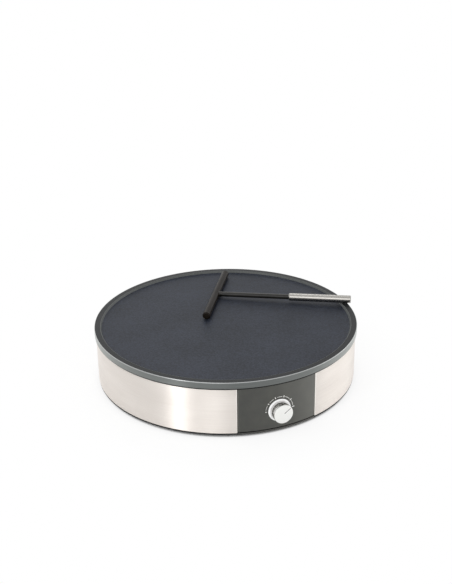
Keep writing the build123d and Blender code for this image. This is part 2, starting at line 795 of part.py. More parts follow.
capillary_start = Vector(6, -168, knob_height + 13)
capillary_height = 56.0
bulb_end = bulb_centre - bulb_direction * (bulb_length / 2)
bulb_run = bulb_end - bulb_direction * 12
capillary_tube = tube(
    [
        capillary_start,
        Vector(capillary_start.X, capillary_start.Y, capillary_height),
        Vector(bulb_run.X, bulb_run.Y, capillary_height),
        bulb_run,
        bulb_end,
    ],
    radius=1.0,
    bend=6.0,
)

with BuildPart() as thermostat_shaft:
    with BuildSketch(knob_plane.offset(thermostat_back + 4)):
        Circle(shaft_radius)
    extrude(amount=200 - thermostat_back - 4)
    with BuildSketch(knob_plane.offset(200)):
        add(d_profile(shaft_radius))
    extrude(amount=shaft_end - 200)
    with BuildSketch(knob_plane.offset(185.0)):
        Circle(shaft_radius)
        Circle(shaft_radius - 0.4, mode=Mode.SUBTRACT)
    extrude(amount=0.6, mode=Mode.SUBTRACT)

with BuildPart() as shaft_clip:
    with BuildSketch(knob_plane.offset(185.0)):
        Circle(5.0)
        Circle(shaft_radius - 0.4, mode=Mode.SUBTRACT)
        with Locations((0, -4)):
            Rectangle(3.6, 6, mode=Mode.SUBTRACT)
    extrude(amount=0.6)

knob_back = 198.9
cap_seat = knob_face - 1.5
groove_radius = 13.4  # the body draws in towards the cap and leaves a fine groove behind it
spigot_radius = 12.6
with BuildPart() as knob_body:
    with BuildSketch(knob_section):
        with BuildLine():
            Polyline(
                (12.2, knob_back),
                (knob_radius, knob_back),
                (knob_radius, cap_seat - 3.0),
                (groove_radius, cap_seat - 0.9),
                (groove_radius, cap_seat),
                (spigot_radius + 0.1, cap_seat),
                (spigot_radius + 0.1, cap_seat - 0.8),
                (0, cap_seat - 0.8),
                (0, knob_back + 0.6),
                (6.0, knob_back + 0.6),
                (6.0, cap_seat - 3.2),
                (12.2, cap_seat - 3.2),
                close=True,
            )
        make_face()
    revolve(axis=knob_axis)
    with BuildSketch(knob_plane.offset(knob_back)):
        Circle(shaft_radius)
    extrude(amount=200 - knob_back, mode=Mode.SUBTRACT)
    with BuildSketch(knob_plane.offset(200)):
        add(d_profile(shaft_radius))
    extrude(amount=shaft_end - 200, mode=Mode.SUBTRACT)

pointer_inner = 1.5
pointer_outer = 12.6
pointer_width = 0.8
pointer_depth = 0.4


def pointer_outline():
    """The pointer line on the knob's face, at its rest angle."""
    middle = polar((pointer_inner + pointer_outer) / 2, knob_rest_angle)
    line = Rectangle(pointer_outer - pointer_inner, pointer_width, mode=Mode.PRIVATE)
    return Location(middle, (0, 0, knob_rest_angle)) * line


with BuildPart() as knob_cap:
    with BuildSketch(knob_section) as cap_section:
        with BuildLine():
            Polyline(
                (0, cap_seat - 0.8),
                (spigot_radius, cap_seat - 0.8),
                (spigot_radius, cap_seat),
                (knob_radius, cap_seat),
                (knob_radius, knob_face),
                (0, knob_face),
                close=True,
            )
        make_face()
    revolve(axis=knob_axis)
    fillet(knob_cap.edges().group_by(Axis.Y)[0], radius=0.8)
    with BuildSketch(knob_plane.offset(knob_face)):
        add(pointer_outline())
    extrude(amount=-pointer_depth, mode=Mode.SUBTRACT)

with BuildPart() as knob_pointer:
    with BuildSketch(knob_plane.offset(knob_face - pointer_depth)):
        add(pointer_outline())
    extrude(amount=pointer_depth)

# ================================================================ wiring
with BuildPart() as terminal_block:
    with BuildSketch(Plane.XY.offset(block_bottom)):
        with Locations((0, block_y)):
            RectangleRounded(block_width, block_depth, 1.5)
    extrude(amount=5.0)
    # three raised ways, each with two clamp screws
    with BuildSketch(Plane.XY.offset(block_bottom)):
        with Locations(*[(way * block_pitch, block_y) for way in (-1, 0, 1)]):
            RectangleRounded(5.0, block_depth, 1.0)
    extrude(amount=block_height)
    with BuildSketch(Plane.XY.offset(block_bottom + block_height)):
        with Locations(*[(way * block_pitch, block_y + side * 3.5) for way in (-1, 0, 1) for side in (-1, 1)]):
            Circle(1.9)
    extrude(amount=-2.0, mode=Mode.SUBTRACT)
    with BuildSketch(Plane.XY.offset(block_bottom)):
        with Locations((-block_pitch / 2, block_y), (block_pitch / 2, block_y)):
            Circle(small_screw_radius)
    extrude(amount=6, mode=Mode.SUBTRACT)
    # open entries for the mains conductors, at the rear
    with BuildSketch(Plane(origin=(0, block_y + block_depth / 2, 15), x_dir=(-1, 0, 0), z_dir=(0, 1, 0))):
        with Locations(*[(way * block_pitch, 0) for way in (-1, 0, 1)]):
            Circle(2.0)
    extrude(amount=-5, mode=Mode.SUBTRACT)

with BuildPart() as terminal_screws:
    with BuildSketch(Plane.XY.offset(block_bottom + block_height - 2.0)):
        with Locations(*[(way * block_pitch, block_y + side * 3.5) for way in (-1, 0, 1) for side in (-1, 1)]):
            Circle(1.9)
    extrude(amount=1.6)

block_screw = screw(small_screw_radius, 8.0, 1.9, 1.2)
with BuildPart() as block_screws:
    for side in (-1, 1):
        downward = Plane(origin=(side * block_pitch / 2, block_y, block_bottom + 5.0), z_dir=(0, 0, -1))
        add(downward.location * block_screw)

gland_face = 201.0
gland_end = 210.5
with BuildPart() as cord_gland:
    gland_plane = Plane(origin=(0, 0, gland_z), x_dir=(-1, 0, 0), z_dir=(0, 1, 0))
    with BuildSketch(gland_plane.offset(186.0)):
        Circle(gland_neck_radius)
    extrude(amount=gland_face - 186.0)
    with BuildSketch(gland_plane.offset(drum_radius)):
        Circle(10.5)
    extrude(amount=gland_face - drum_radius)
    with BuildSketch(gland_plane.offset(gland_face)):
        RegularPolygon(radius=8.6, side_count=6, major_radius=False)
    extrude(amount=5.5)
    with BuildSketch(gland_plane.offset(gland_face + 5.5)):
        Circle(8.2)
    with BuildSketch(gland_plane.offset(gland_end)):
        Circle(6.2)
    loft()
    with BuildSketch(gland_plane.offset(185.0)):
        Circle(gland_bore)
    extrude(amount=40, mode=Mode.SUBTRACT)

with BuildPart() as gland_nut:
    with BuildSketch(gland_plane.offset(190.4)):
        RegularPolygon(radius=9.4, side_count=6, major_radius=False)
        Circle(gland_neck_radius, mode=Mode.SUBTRACT)
    extrude(amount=6.4)

with BuildPart() as cord_clamp:
    with BuildSketch(Plane(origin=(0, clamp_y - 4, gland_z), x_dir=(-1, 0, 0), z_dir=(0, 1, 0))):
        with Locations((0, 1.25)):
            Rectangle(2 * clamp_screw_x + 8, 2.5)
        Circle(cord_channel + 2.0)
        with Locations((0, -5)):
            Rectangle(20, 10, mode=Mode.SUBTRACT)
        Circle(cord_channel, mode=Mode.SUBTRACT)
    extrude(amount=8)
    with BuildSketch(Plane.XY.offset(gland_z - 1)):
        with Locations((-clamp_screw_x, clamp_y), (clamp_screw_x, clamp_y)):
            Circle(small_screw_radius)
    extrude(amount=6, mode=Mode.SUBTRACT)

clamp_screw = screw(small_screw_radius, 10.0, small_head_radius, small_head_height)
with BuildPart() as clamp_screws:
    for side in (-1, 1):
        downward = Plane(origin=(side * clamp_screw_x, clamp_y, gland_z + 2.5), z_dir=(0, 0, -1))
        add(downward.location * clamp_screw)

lane_z = floor_z + lead_radius + 0.05
block_front = block_y - block_depth / 2
down = Vector(0, 0, -1)
thermostat_tips = [Vector(side * thermostat_blade_x, blade_length - thermostat_back, knob_height)
                   for side in (-1, 1)]
cutout_tips = [Vector(cutout_centre.X + side * cutout_blade_offset, cutout_centre.Y,
                      cutout_bottom - blade_length) for side in (-1, 1)]
heater_tips = [foot + down * (heater_pin + blade_length) for foot in (outer_foot, inner_foot)]
earth_tip = Vector(0, earth_bend_y + blade_thickness / 2, earth_tab_bottom)

with BuildPart() as lead_connectors:
    for tip in thermostat_tips:
        add(sleeve(tip, (0, 1, 0), (0, 0, 1)))
    for tip in cutout_tips:
        add(sleeve(tip, (0, 0, -1), (0, 1, 0)))
    for tip in heater_tips + [earth_tip]:
        add(sleeve(tip, (0, 0, -1), (1, 0, 0)))


def from_block(way):
    """The stretch of a lead from its way in the terminal block to its lane in the duct."""
    return [
        Vector(way * block_pitch, block_front, 15),
        Vector(way * block_pitch, block_front - 10, 15),
        Vector(way * lane_spacing, 108, lane_z),
    ]


live_start = thermostat_tips[0] + Vector(0, sleeve_reach, 0)
live_lead = tube(
    from_block(-1)
    + [Vector(-lane_spacing, -98, lane_z), live_start + Vector(0, 27, 0), live_start],
    radius=lead_radius,
    bend=10.0,
)

switched_start = thermostat_tips[1] + Vector(0, sleeve_reach, 0)
switched_end = cutout_tips[0] + down * sleeve_reach
switched_lead = tube(
    [
        switched_start,
        switched_start + Vector(0, 17, 0),
        Vector(switched_end.X, switched_end.Y, knob_height + 1.5),
        switched_end,
    ],
    radius=lead_radius,
    bend=8.0,
)

element_start = cutout_tips[1] + down * sleeve_reach
element_end = heater_tips[0] + down * sleeve_reach
element_low = 24.0
element_lead = tube(
    [
        element_start,
        Vector(element_start.X, element_start.Y, element_low),
        Vector(element_end.X, element_end.Y, element_low),
        element_end,
    ],
    radius=lead_radius,
    bend=8.0,
)

neutral_end = heater_tips[1] + down * sleeve_reach
neutral_lead = tube(
    from_block(1)
    + [Vector(lane_spacing, -78, lane_z), Vector(neutral_end.X, neutral_end.Y, 20), neutral_end],
    radius=lead_radius,
    bend=10.0,
)

earth_end = earth_tip + down * sleeve_reach
earth_lead = tube(
    [
        Vector(0, block_front, 15),
        Vector(0, block_front - 10, 15),
        Vector(0, 108, lane_z),
        Vector(0, earth_end.Y, lane_z),
        earth_end,
    ],
    radius=lead_radius,
    bend=12.0,
)

# ================================================================ batter spreader
# It lies on the plate: the head on the cooking surface, and the handle on the rim and a little past it.
spreader_clearance = 0.3
head_radius = 6.0
rod_radius = 4.0
handle_radius = 6.0
handle_length = 98.0
spreader_angle = -32.0
spreader_tilt = 1.17
head_centre = Vector(19.6, 89.0, surface_z + head_radius + spreader_clearance)
level = polar(1, spreader_angle)
along = level * cos(radians(spreader_tilt)) + Vector(0, 0, sin(radians(spreader_tilt)))
across = polar(1, spreader_angle + 90)
# a sketch in this plane is a cross-section of the rod and the handle, and its offset runs from the head
spreader_plane = Plane(origin=head_centre, x_dir=across, z_dir=along)
handle_start = spreader_length - handle_length
handle_bore = handle_radius - 1.2
plug_length = 8.0
plug_recess = 0.4

with BuildPart() as spreader_head:
    with BuildSketch(Plane(origin=head_centre - across * (spreader_head_length / 2), z_dir=across)):
        Circle(head_radius)
    extrude(amount=spreader_head_length)
    chamfer(spreader_head.edges().filter_by(GeomType.CIRCLE), length=1.6)
    with BuildSketch(spreader_plane):
        Circle(rod_radius)
    extrude(amount=head_radius + 1, mode=Mode.SUBTRACT)

with BuildPart() as spreader_rod:
    with BuildSketch(spreader_plane):
        Circle(rod_radius)
    extrude(amount=handle_start + 30)

with BuildPart() as spreader_handle:
    with BuildSketch(spreader_plane.offset(handle_start)):
        Circle(handle_radius)
    extrude(amount=handle_length)
    tube_ends = spreader_handle.edges().filter_by(GeomType.CIRCLE).sort_by(Axis(head_centre, along))
    chamfer(tube_ends[0], length=1.2)
    fillet(tube_ends[-1], radius=0.8)
    with BuildSketch(spreader_plane.offset(handle_start - 1)):
        Circle(rod_radius)
    extrude(amount=31, mode=Mode.SUBTRACT)
    with BuildSketch(spreader_plane.offset(spreader_length)):
        Circle(handle_bore)
    extrude(amount=-(plug_length + plug_recess), mode=Mode.SUBTRACT)

with BuildPart() as handle_cap:
    # a plug inside the tube's end, a little below its edge
    with BuildSketch(spreader_plane.offset(spreader_length - plug_recess)):
        Circle(handle_bore)
    extrude(amount=-plug_length)

# ================================================================ files
pieces = {
    "cooking_plate": cooking_plate,
    "heating_element": heating_element,
    "heater_terminals": heater_terminals,
    "heat_shield": heat_shield,
    "plate_spacers": plate_spacers,
    "plate_screws": plate_screws,
    "sensor_bulb": sensor_bulb,
    "bulb_clip": bulb_clip,
    "thermal_cutout": thermal_cutout,
    "sensor_screws": sensor_screws,
    "earth_tag": earth_tag,
    "earth_screw": earth_screw,
    "support_ring": support_ring,
    "steel_band": steel_band,
    "control_panel": control_panel,
    "base_pan": base_pan,
    "rubber_feet": rubber_feet,
    "ring_screws": ring_screws,
    "panel_screws": panel_screws,
    "light_ring": light_ring,
    "knob_collar": knob_collar,
    "light_board": light_board,
    "board_lamps": board_lamps,
    "thermostat_body": thermostat_body,
    "thermostat_terminals": thermostat_terminals,
    "thermostat_bracket": thermostat_bracket,
    "thermostat_screws": thermostat_screws,
    "capillary_tube": capillary_tube,
    "thermostat_shaft": thermostat_shaft,
    "shaft_clip": shaft_clip,
    "knob_body": knob_body,
    "knob_cap": knob_cap,
    "knob_pointer": knob_pointer,
    "terminal_block": terminal_block,
    "terminal_screws": terminal_screws,
    "block_screws": block_screws,
    "cord_gland": cord_gland,
    "gland_nut": gland_nut,
    "cord_clamp": cord_clamp,
    "clamp_screws": clamp_screws,
    "lead_connectors": lead_connectors,
    "live_lead": live_lead,
    "switched_lead": switched_lead,
    "element_lead": element_lead,
    "neutral_lead": neutral_lead,
    "earth_lead": earth_lead,
    "spreader_head": spreader_head,
    "spreader_rod": spreader_rod,
    "spreader_handle": spreader_handle,
    "handle_cap": handle_cap,
}
for name, piece in pieces.items():
    piece.part.label = name
    export_step(piece.part, f"parts/{name}.step")
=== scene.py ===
from math import atan2, cos, hypot, pi, radians, sin, sqrt, tan

import bmesh
import bpy
from mathutils import Matrix, Vector


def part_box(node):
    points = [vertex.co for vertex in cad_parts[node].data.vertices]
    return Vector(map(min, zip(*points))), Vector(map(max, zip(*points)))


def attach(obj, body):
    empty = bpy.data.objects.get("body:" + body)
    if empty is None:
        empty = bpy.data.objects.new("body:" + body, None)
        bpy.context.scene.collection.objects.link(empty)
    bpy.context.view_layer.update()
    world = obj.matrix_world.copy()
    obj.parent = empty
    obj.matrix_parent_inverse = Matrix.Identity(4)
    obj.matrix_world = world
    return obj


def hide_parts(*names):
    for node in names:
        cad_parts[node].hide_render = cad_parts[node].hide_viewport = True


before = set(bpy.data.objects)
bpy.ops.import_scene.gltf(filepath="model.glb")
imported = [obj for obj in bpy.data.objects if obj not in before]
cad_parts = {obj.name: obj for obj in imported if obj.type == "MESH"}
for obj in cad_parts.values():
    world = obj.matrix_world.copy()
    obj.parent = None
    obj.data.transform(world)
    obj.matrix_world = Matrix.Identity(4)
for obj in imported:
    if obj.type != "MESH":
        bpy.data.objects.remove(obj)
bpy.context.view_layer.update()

MM = 0.001

# ---------------------------------------------------------------- the drum's own sizes, in metres
_, plate_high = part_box("cooking_plate")
band_low, band_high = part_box("steel_band")
cap_low, cap_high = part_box("knob_cap")

PLATE_RADIUS = 200.0 * MM
DRUM_RADIUS = 198.0 * MM
RIM_HEIGHT = 4.0 * MM
EDGE_HEIGHT = 10.4 * MM
PLATE_THICKNESS = 5.0 * MM
RIM_TOP = plate_high.z
SURFACE = RIM_TOP - RIM_HEIGHT
EDGE_BOTTOM = RIM_TOP - EDGE_HEIGHT
PLATE_BOTTOM = SURFACE - PLATE_THICKNESS
BAND_BOTTOM = band_low.z
BAND_TOP = band_high.z
PANEL_BOTTOM = 8.9 * MM
PANEL_HALF_ANGLE = radians(17.4)
PANEL_GAP_ANGLE = radians(0.2)
KNOB_CENTRE = Vector((0.0, 0.0, (cap_low.z + cap_high.z) / 2))
KNOB_FACE = -cap_low.y
KNOB_REST_ANGLE = radians(36.0)

FRONT = -pi / 2
OUTWARD = Vector((0.0, -1.0, 0.0))
RIGHT = Vector((1.0, 0.0, 0.0))
UP = Vector((0.0, 0.0, 1.0))
ORIGIN = Vector((0.0, 0.0, 0.0))

# ---------------------------------------------------------------- how finely round shapes are made
DRUM_STEPS = 192
PANEL_STEPS = 60
KNOB_STEPS = 96
SPREADER_STEPS = 64
MERGE_DISTANCE = 1e-6
SHORTEST_EDGE = 1e-7
SMOOTH_ANGLE = radians(35)
EASED_ANGLE = radians(60)


# ================================================================ shaping helpers
def rounded(points, radii, steps=5):
    """The outline through the points, with an arc of some steps at each corner that has a radius."""
    outline = []
    for index, (point, radius) in enumerate(zip(points, radii)):
        point = Vector(point)
        if radius == 0:
            outline.append(point)
            continue
        before = (Vector(points[index - 1]) - point).normalized()
        after = (Vector(points[(index + 1) % len(points)]) - point).normalized()
        half_turn = before.angle(after) / 2
        centre = point + (before + after).normalized() * radius / sin(half_turn)
        start = (point + before * radius / tan(half_turn) - centre).normalized()
        end = (point + after * radius / tan(half_turn) - centre).normalized()
        for step in range(steps + 1):
            outline.append(centre + start.slerp(end, step / steps) * radius)
    return outline


def turned(profile, centre, axis, radial, steps):
    """A mesh spun from a closed profile of (distance from the axis, distance along it)."""
    bm = bmesh.new()
    verts = [bm.verts.new(centre + radial * point[0] + axis * point[1]) for point in profile]
    edges = [bm.edges.new(pair) for pair in zip(verts, verts[1:] + verts[:1])]
    bmesh.ops.spin(
        bm, geom=verts + edges, cent=centre, axis=axis, angle=2 * pi, steps=steps, use_merge=True
    )
    bmesh.ops.remove_doubles(bm, verts=bm.verts, dist=MERGE_DISTANCE)
    bmesh.ops.dissolve_degenerate(bm, edges=bm.edges, dist=SHORTEST_EDGE)
    bmesh.ops.recalc_face_normals(bm, faces=bm.faces)
    return bm


def plain_piece(name, bm, material, body):
    """A piece's object: its mesh, its finish and the body it rides on."""
    mesh = bpy.data.meshes.new(name)
    bm.to_mesh(mesh)
    bm.free()
    obj = bpy.data.objects.new(name, mesh)
    bpy.context.scene.collection.objects.link(obj)
    mesh.materials.append(material)
    mesh.shade_smooth()
    mesh.set_sharp_from_angle(angle=SMOOTH_ANGLE)
    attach(obj, body)
    return obj


def level_faces(obj):
    """Shade a piece's broad faces flat right up to their rounded edges."""
    level = obj.modifiers.new("level_faces", "WEIGHTED_NORMAL")
    level.keep_sharp = True


def piece(name, bm, material, body):
    """A finished piece."""
    obj = plain_piece(name, bm, material, body)
    level_faces(obj)
    return obj


def apply_modifiers(obj):
    """Replace a piece's mesh by the mesh that its modifiers make."""
    graph = bpy.context.evaluated_depsgraph_get()
    finished = bpy.data.meshes.new_from_object(obj.evaluated_get(graph))
    obj.modifiers.clear()
    obj.data = finished


def map_round_drum(bm):
    """A UV map that runs round the drum and up it, for the gloss of worked metal to follow."""
    run = bm.loops.layers.uv.new("wall_run")
    for face in bm.faces:
        middle = face.calc_center_median()
        here = atan2(middle.y, middle.x)
        for loop in face.loops:
            turn = (atan2(loop.vert.co.y, loop.vert.co.x) - here + pi) % (2 * pi) - pi
            loop[run].uv = ((here + turn) * DRUM_RADIUS, loop.vert.co.z)


def ribbon(path, low, high):
    """An upright strip that follows a path in plan."""
    bm = bmesh.new()
    verts = [bm.verts.new((point.x, point.y, low)) for point in path]
    edges = [bm.edges.new(pair) for pair in zip(verts, verts[1:])]
    grown = bmesh.ops.extrude_edge_only(bm, edges=edges)["geom"]
    raised = [item for item in grown if isinstance(item, bmesh.types.BMVert)]
    bmesh.ops.translate(bm, verts=raised, vec=(0, 0, high - low))
    bmesh.ops.recalc_face_normals(bm, faces=bm.faces)
    map_round_drum(bm)
    return bm


def wall_piece(name, bm, material, thickness, easing):
    """A strip given its wall and eased edges, as one finished mesh."""
    strip = plain_piece(name, bm, material, "appliance")
    wall = strip.modifiers.new("wall", "SOLIDIFY")
    wall.thickness = thickness
    wall.offset = -1.0
    edge = strip.modifiers.new("eased_edge", "BEVEL")
    edge.width = easing
    edge.segments = 2
    edge.limit_method = "ANGLE"
    edge.angle_limit = EASED_ANGLE
    level_faces(strip)
    apply_modifiers(strip)
    return strip


def drum_path(radius, start, sweep, return_depth, corner, steps):
    """A path in plan along the drum's wall that turns in towards the axis at both ends."""
    angles = [start + sweep * k / steps for k in range(steps + 1)]
    arc = [Vector((cos(angle), sin(angle))) for angle in angles]
    path = [arc[0] * (radius - return_depth)]
    path += [direction * radius for direction in arc]
    path.append(arc[-1] * (radius - return_depth))
    radii = [0.0, corner] + [0.0] * (steps - 1) + [corner, 0.0]
    return rounded(path, radii, steps=6)


# ================================================================ shader helpers
def new_finish(name):
    """A material, its node tree and its shader, ready to fill in."""
    material = bpy.data.materials.new(name)
    material.use_nodes = True
    tree = material.node_tree
    return material, tree, tree.nodes["Principled BSDF"]


def calculated(tree, operation, first, second):
    """What an operation makes of a value and a number, or of two values."""
    result = tree.nodes.new("ShaderNodeMath")
    result.operation = operation
    tree.links.new(first, result.inputs[0])
    if isinstance(second, float):
        result.inputs[1].default_value = second
    else:
        tree.links.new(second, result.inputs[1])
    return result.outputs["Value"]


def blended(tree, first, second, share):
    """The first value mixed with a share of the second."""
    blend = tree.nodes.new("ShaderNodeMix")
    blend.inputs["Factor"].default_value = share
    tree.links.new(first, blend.inputs["A"])
    tree.links.new(second, blend.inputs["B"])
    return blend.outputs["Result"]


def scaled_coordinates(tree, stretch=(1.0, 1.0, 1.0)):
    """Object coordinates, stretched along each axis."""
    where = tree.nodes.new("ShaderNodeTexCoord")
    mapping = tree.nodes.new("ShaderNodeMapping")
    mapping.inputs["Scale"].default_value = stretch
    tree.links.new(where.outputs["Object"], mapping.inputs["Vector"])
    return mapping.outputs["Vector"]


def drum_coordinates(tree, along, upward):
    """Coordinates that run round the drum and up it, for marks that follow the wall."""
    where = tree.nodes.new("ShaderNodeTexCoord")
    split = tree.nodes.new("ShaderNodeSeparateXYZ")
    tree.links.new(where.outputs["Object"], split.inputs["Vector"])
    turn = calculated(tree, "ARCTAN2", split.outputs["X"], split.outputs["Y"])
    join = tree.nodes.new("ShaderNodeCombineXYZ")
    tree.links.new(turn, join.inputs["X"])
    tree.links.new(split.outputs["Z"], join.inputs["Y"])
    mapping = tree.nodes.new("ShaderNodeMapping")
    mapping.inputs["Scale"].default_value = (along * DRUM_RADIUS, upward, 1.0)
    tree.links.new(join.outputs["Vector"], mapping.inputs["Vector"])
    return mapping.outputs["Vector"]


def noise(tree, coordinates, scale=1.0, detail=3.0):
    """A noise pattern's value on the coordinates."""
    pattern = tree.nodes.new("ShaderNodeTexNoise")
    pattern.inputs["Scale"].default_value = scale
    pattern.inputs["Detail"].default_value = detail
    tree.links.new(coordinates, pattern.inputs["Vector"])
    return pattern.outputs["Fac"]


def tones(tree, surface, value, dark, light, spread=0.2):
    """Two tones of the same colour, mixed by a pattern."""
    ramp = tree.nodes.new("ShaderNodeValToRGB")
    ramp.color_ramp.elements[0].position = 0.5 - spread
    ramp.color_ramp.elements[0].color = (*dark, 1.0)
    ramp.color_ramp.elements[1].position = 0.5 + spread
    ramp.color_ramp.elements[1].color = (*light, 1.0)
    tree.links.new(value, ramp.inputs["Fac"])
    tree.links.new(ramp.outputs["Color"], surface.inputs["Base Color"])


def spread_over(tree, value, low, high, socket):
    """A value from 0 to 1 spread over a socket's range."""
    spread = tree.nodes.new("ShaderNodeMapRange")
    spread.inputs["To Min"].default_value = low
    spread.inputs["To Max"].default_value = high
    tree.links.new(value, spread.inputs["Value"])
    tree.links.new(spread.outputs["Result"], socket)


def uneven_gloss(tree, surface, value, roughness, change=0.05):
    """A roughness that goes a little up and down with a pattern."""
    spread_over(tree, value, roughness - change, roughness + change, surface.inputs["Roughness"])


def relief(tree, surface, value, height):
    """A pattern's value as bumps of a height in metres."""
    bump = tree.nodes.new("ShaderNodeBump")
    bump.inputs["Distance"].default_value = height
    tree.links.new(value, bump.inputs["Height"])
    tree.links.new(bump.outputs["Normal"], surface.inputs["Normal"])


def grained_round_drum(tree, surface, strength):
    """Gloss drawn out across marks that run round the drum."""
    surface.inputs["Anisotropic"].default_value = strength
    surface.inputs["Anisotropic Rotation"].default_value = 0.25
    around = tree.nodes.new("ShaderNodeTangent")
    around.direction_type = "UV_MAP"
    around.uv_map = "wall_run"
    tree.links.new(around.outputs["Tangent"], surface.inputs["Tangent"])


def painted_sheen_edge_on(material, lighter, steepness=1.5):
    """Painted sheen: a material's colour goes over to a lighter one where it is seen edge on."""
    tree = material.node_tree
    colour = tree.nodes["Principled BSDF"].inputs["Base Color"]
    glance = tree.nodes.new("ShaderNodeLayerWeight")
    glance.inputs["Blend"].default_value = 0.5
    sheen = tree.nodes.new("ShaderNodeMix")
    sheen.data_type = "RGBA"
    sheen.inputs["B"].default_value = (*lighter, 1.0)
    steeper = calculated(tree, "POWER", glance.outputs["Facing"], steepness)
    tree.links.new(steeper, sheen.inputs["Factor"])
    tree.links.new(colour.links[0].from_socket, sheen.inputs["A"])
    tree.links.new(sheen.outputs["Result"], colour)


# ================================================================ kinds of finish
def moulded(name, dark, light, roughness, grain=1600.0, height=0.03 * MM, specular=0.5):
    """Moulded plastic or rubber: two close tones and a fine spark-eroded grain."""
    material, tree, surface = new_finish(name)
    where = scaled_coordinates(tree)
    tones(tree, surface, noise(tree, where, scale=60.0), dark, light)
    grains = noise(tree, where, grain, detail=2.0)
    uneven_gloss(tree, surface, grains, roughness, change=0.06)
    relief(tree, surface, grains, height)
    surface.inputs["Specular IOR Level"].default_value = specular
    return material


def drawn_metal(
    name, dark, light, roughness, stretch=(1.0, 1.0, 1.0), scale=400.0, height=0.004 * MM
):
    """Metal with drawing or turning marks, closer together along an axis with a larger stretch."""
    material, tree, surface = new_finish(name)
    marks = noise(tree, scaled_coordinates(tree, stretch), scale, detail=4.0)
    tones(tree, surface, marks, dark, light)
    uneven_gloss(tree, surface, marks, roughness)
    relief(tree, surface, marks, height)
    surface.inputs["Metallic"].default_value = 1.0
    return material


def brushed_band_finish(dark, light, roughness):
    """Stainless steel brushed round the drum: long streaks along the wall, fine lines up it."""
    material, tree, surface = new_finish("brushed_band")
    streaks = noise(tree, drum_coordinates(tree, along=14.0, upward=5200.0), detail=5.0)
    clouds = noise(tree, drum_coordinates(tree, along=9.0, upward=30.0), detail=2.0)
    tones(tree, surface, blended(tree, streaks, clouds, share=0.35), dark, light)
    uneven_gloss(tree, surface, streaks, roughness)
    relief(tree, surface, streaks, height=0.004 * MM)
    surface.inputs["Metallic"].default_value = 1.0
    grained_round_drum(tree, surface, strength=0.95)
    return material


def sprayed_coating(name, dark, light, roughness):
    """Non-stick coating: a dark colour with a fine sprayed grain."""
    material, tree, surface = new_finish(name)
    where = scaled_coordinates(tree)
    clouds = noise(tree, where, scale=14.0)
    grains = noise(tree, where, scale=480.0)
    tones(tree, surface, blended(tree, clouds, grains, share=0.75), dark, light, spread=0.14)
    uneven_gloss(tree, surface, grains, roughness, change=0.07)
    relief(tree, surface, grains, height=0.09 * MM)
    surface.inputs["Specular IOR Level"].default_value = 0.22
    return material


def turned_casting(name, dark, light, lighter, roughness):
    """Turned casting: satin grey with fine turning lines, and a painted sheen that lightens it edge on.
    """
    material, tree, surface = new_finish(name)
    lines = noise(tree, drum_coordinates(tree, along=10.0, upward=3200.0))
    tones(tree, surface, lines, dark, light)
    painted_sheen_edge_on(material, lighter)
    uneven_gloss(tree, surface, lines, roughness)
    relief(tree, surface, lines, height=0.01 * MM)
    surface.inputs["Metallic"].default_value = 1.0
    grained_round_drum(tree, surface, strength=0.85)
    return material


def lit_and_painted_glow_finish(name, dark, light, roughness, glow):
    """Plastic that glows: the milky ring lit from inside, and the satin collar with a painted glow."""
    material, tree, surface = new_finish(name)
    cloud = noise(tree, scaled_coordinates(tree), scale=220.0)
    tones(tree, surface, cloud, dark, light)
    uneven_gloss(tree, surface, cloud, roughness)
    surface.inputs["Subsurface Weight"].default_value = 0.2
    surface.inputs["Subsurface Radius"].default_value = (2.0 * MM, 2.0 * MM, 2.0 * MM)
    surface.inputs["Emission Color"].default_value = (1.0, 1.0, 1.0, 1.0)
    surface.inputs["Emission Strength"].default_value = glow
    return material


def striped_finish(name, first, second):
    """Lead insulation with two colours along it."""
    material, tree, surface = new_finish(name)
    wave = tree.nodes.new("ShaderNodeTexWave")
    wave.bands_direction = "DIAGONAL"
    wave.inputs["Scale"].default_value = 60.0
    tree.links.new(scaled_coordinates(tree), wave.inputs["Vector"])
    tones(tree, surface, wave.outputs["Fac"], first, second, spread=0.05)
    surface.inputs["Roughness"].default_value = 0.5
    return material


# ================================================================ the finishes themselves
# the drum
brushed_band = brushed_band_finish((0.755, 0.703, 0.657), (0.93, 0.883, 0.837), 0.45)
# polished edges, their lighter colour partly a painted highlight
polished_hem_and_highlight = drawn_metal("polished_hem_and_highlight", (0.90, 0.87, 0.82), (0.96, 0.93, 0.88), 0.30)
panel_plastic = moulded(
    "panel_plastic", (0.004, 0.005, 0.003), (0.017, 0.018, 0.012), 0.47,
    grain=520.0, height=0.06 * MM, specular=0.66,
)
# painted sheen: the panel lightens where it is seen edge on, in place of the light from the right
painted_sheen_edge_on(panel_plastic, (0.44, 0.44, 0.40))
base_plastic = moulded(
    "base_plastic", (0.010, 0.010, 0.010), (0.016, 0.016, 0.016), 0.50, specular=0.3
)
ring_plastic = moulded(
    "ring_plastic", (0.004, 0.004, 0.004), (0.009, 0.009, 0.009), 0.60, specular=0.2
)
foot_rubber = moulded(
    "foot_rubber", (0.018, 0.018, 0.018), (0.028, 0.028, 0.028), 0.75, grain=900.0
)

# the cooking plate
nonstick = sprayed_coating(
    "nonstick_coating", (0.004, 0.006, 0.011), (0.027, 0.033, 0.050), 0.51
)
rim_coating = sprayed_coating(
    "rim_coating", (0.005, 0.006, 0.007), (0.014, 0.016, 0.017), 0.45
)
# painted highlight: the rim's inner wall is lighter, in place of the front light it reflects
rim_wall_painted_highlight = sprayed_coating(
    "rim_wall_painted_highlight", (0.078, 0.083, 0.082), (0.112, 0.118, 0.115), 0.35
)
# the third colour is a painted sheen: the outer wall's lighter look where it is seen edge on
plate_edge = turned_casting(
    "plate_edge", (0.098, 0.108, 0.106), (0.180, 0.190, 0.187), (0.53, 0.55, 0.53), 0.42
)
# painted highlight: the light line along the plate's outer top edge
plate_corner_painted_highlight = turned_casting(
    "plate_corner_painted_highlight", (0.38, 0.39, 0.39), (0.50, 0.51, 0.51), (0.64, 0.66, 0.64), 0.38
)

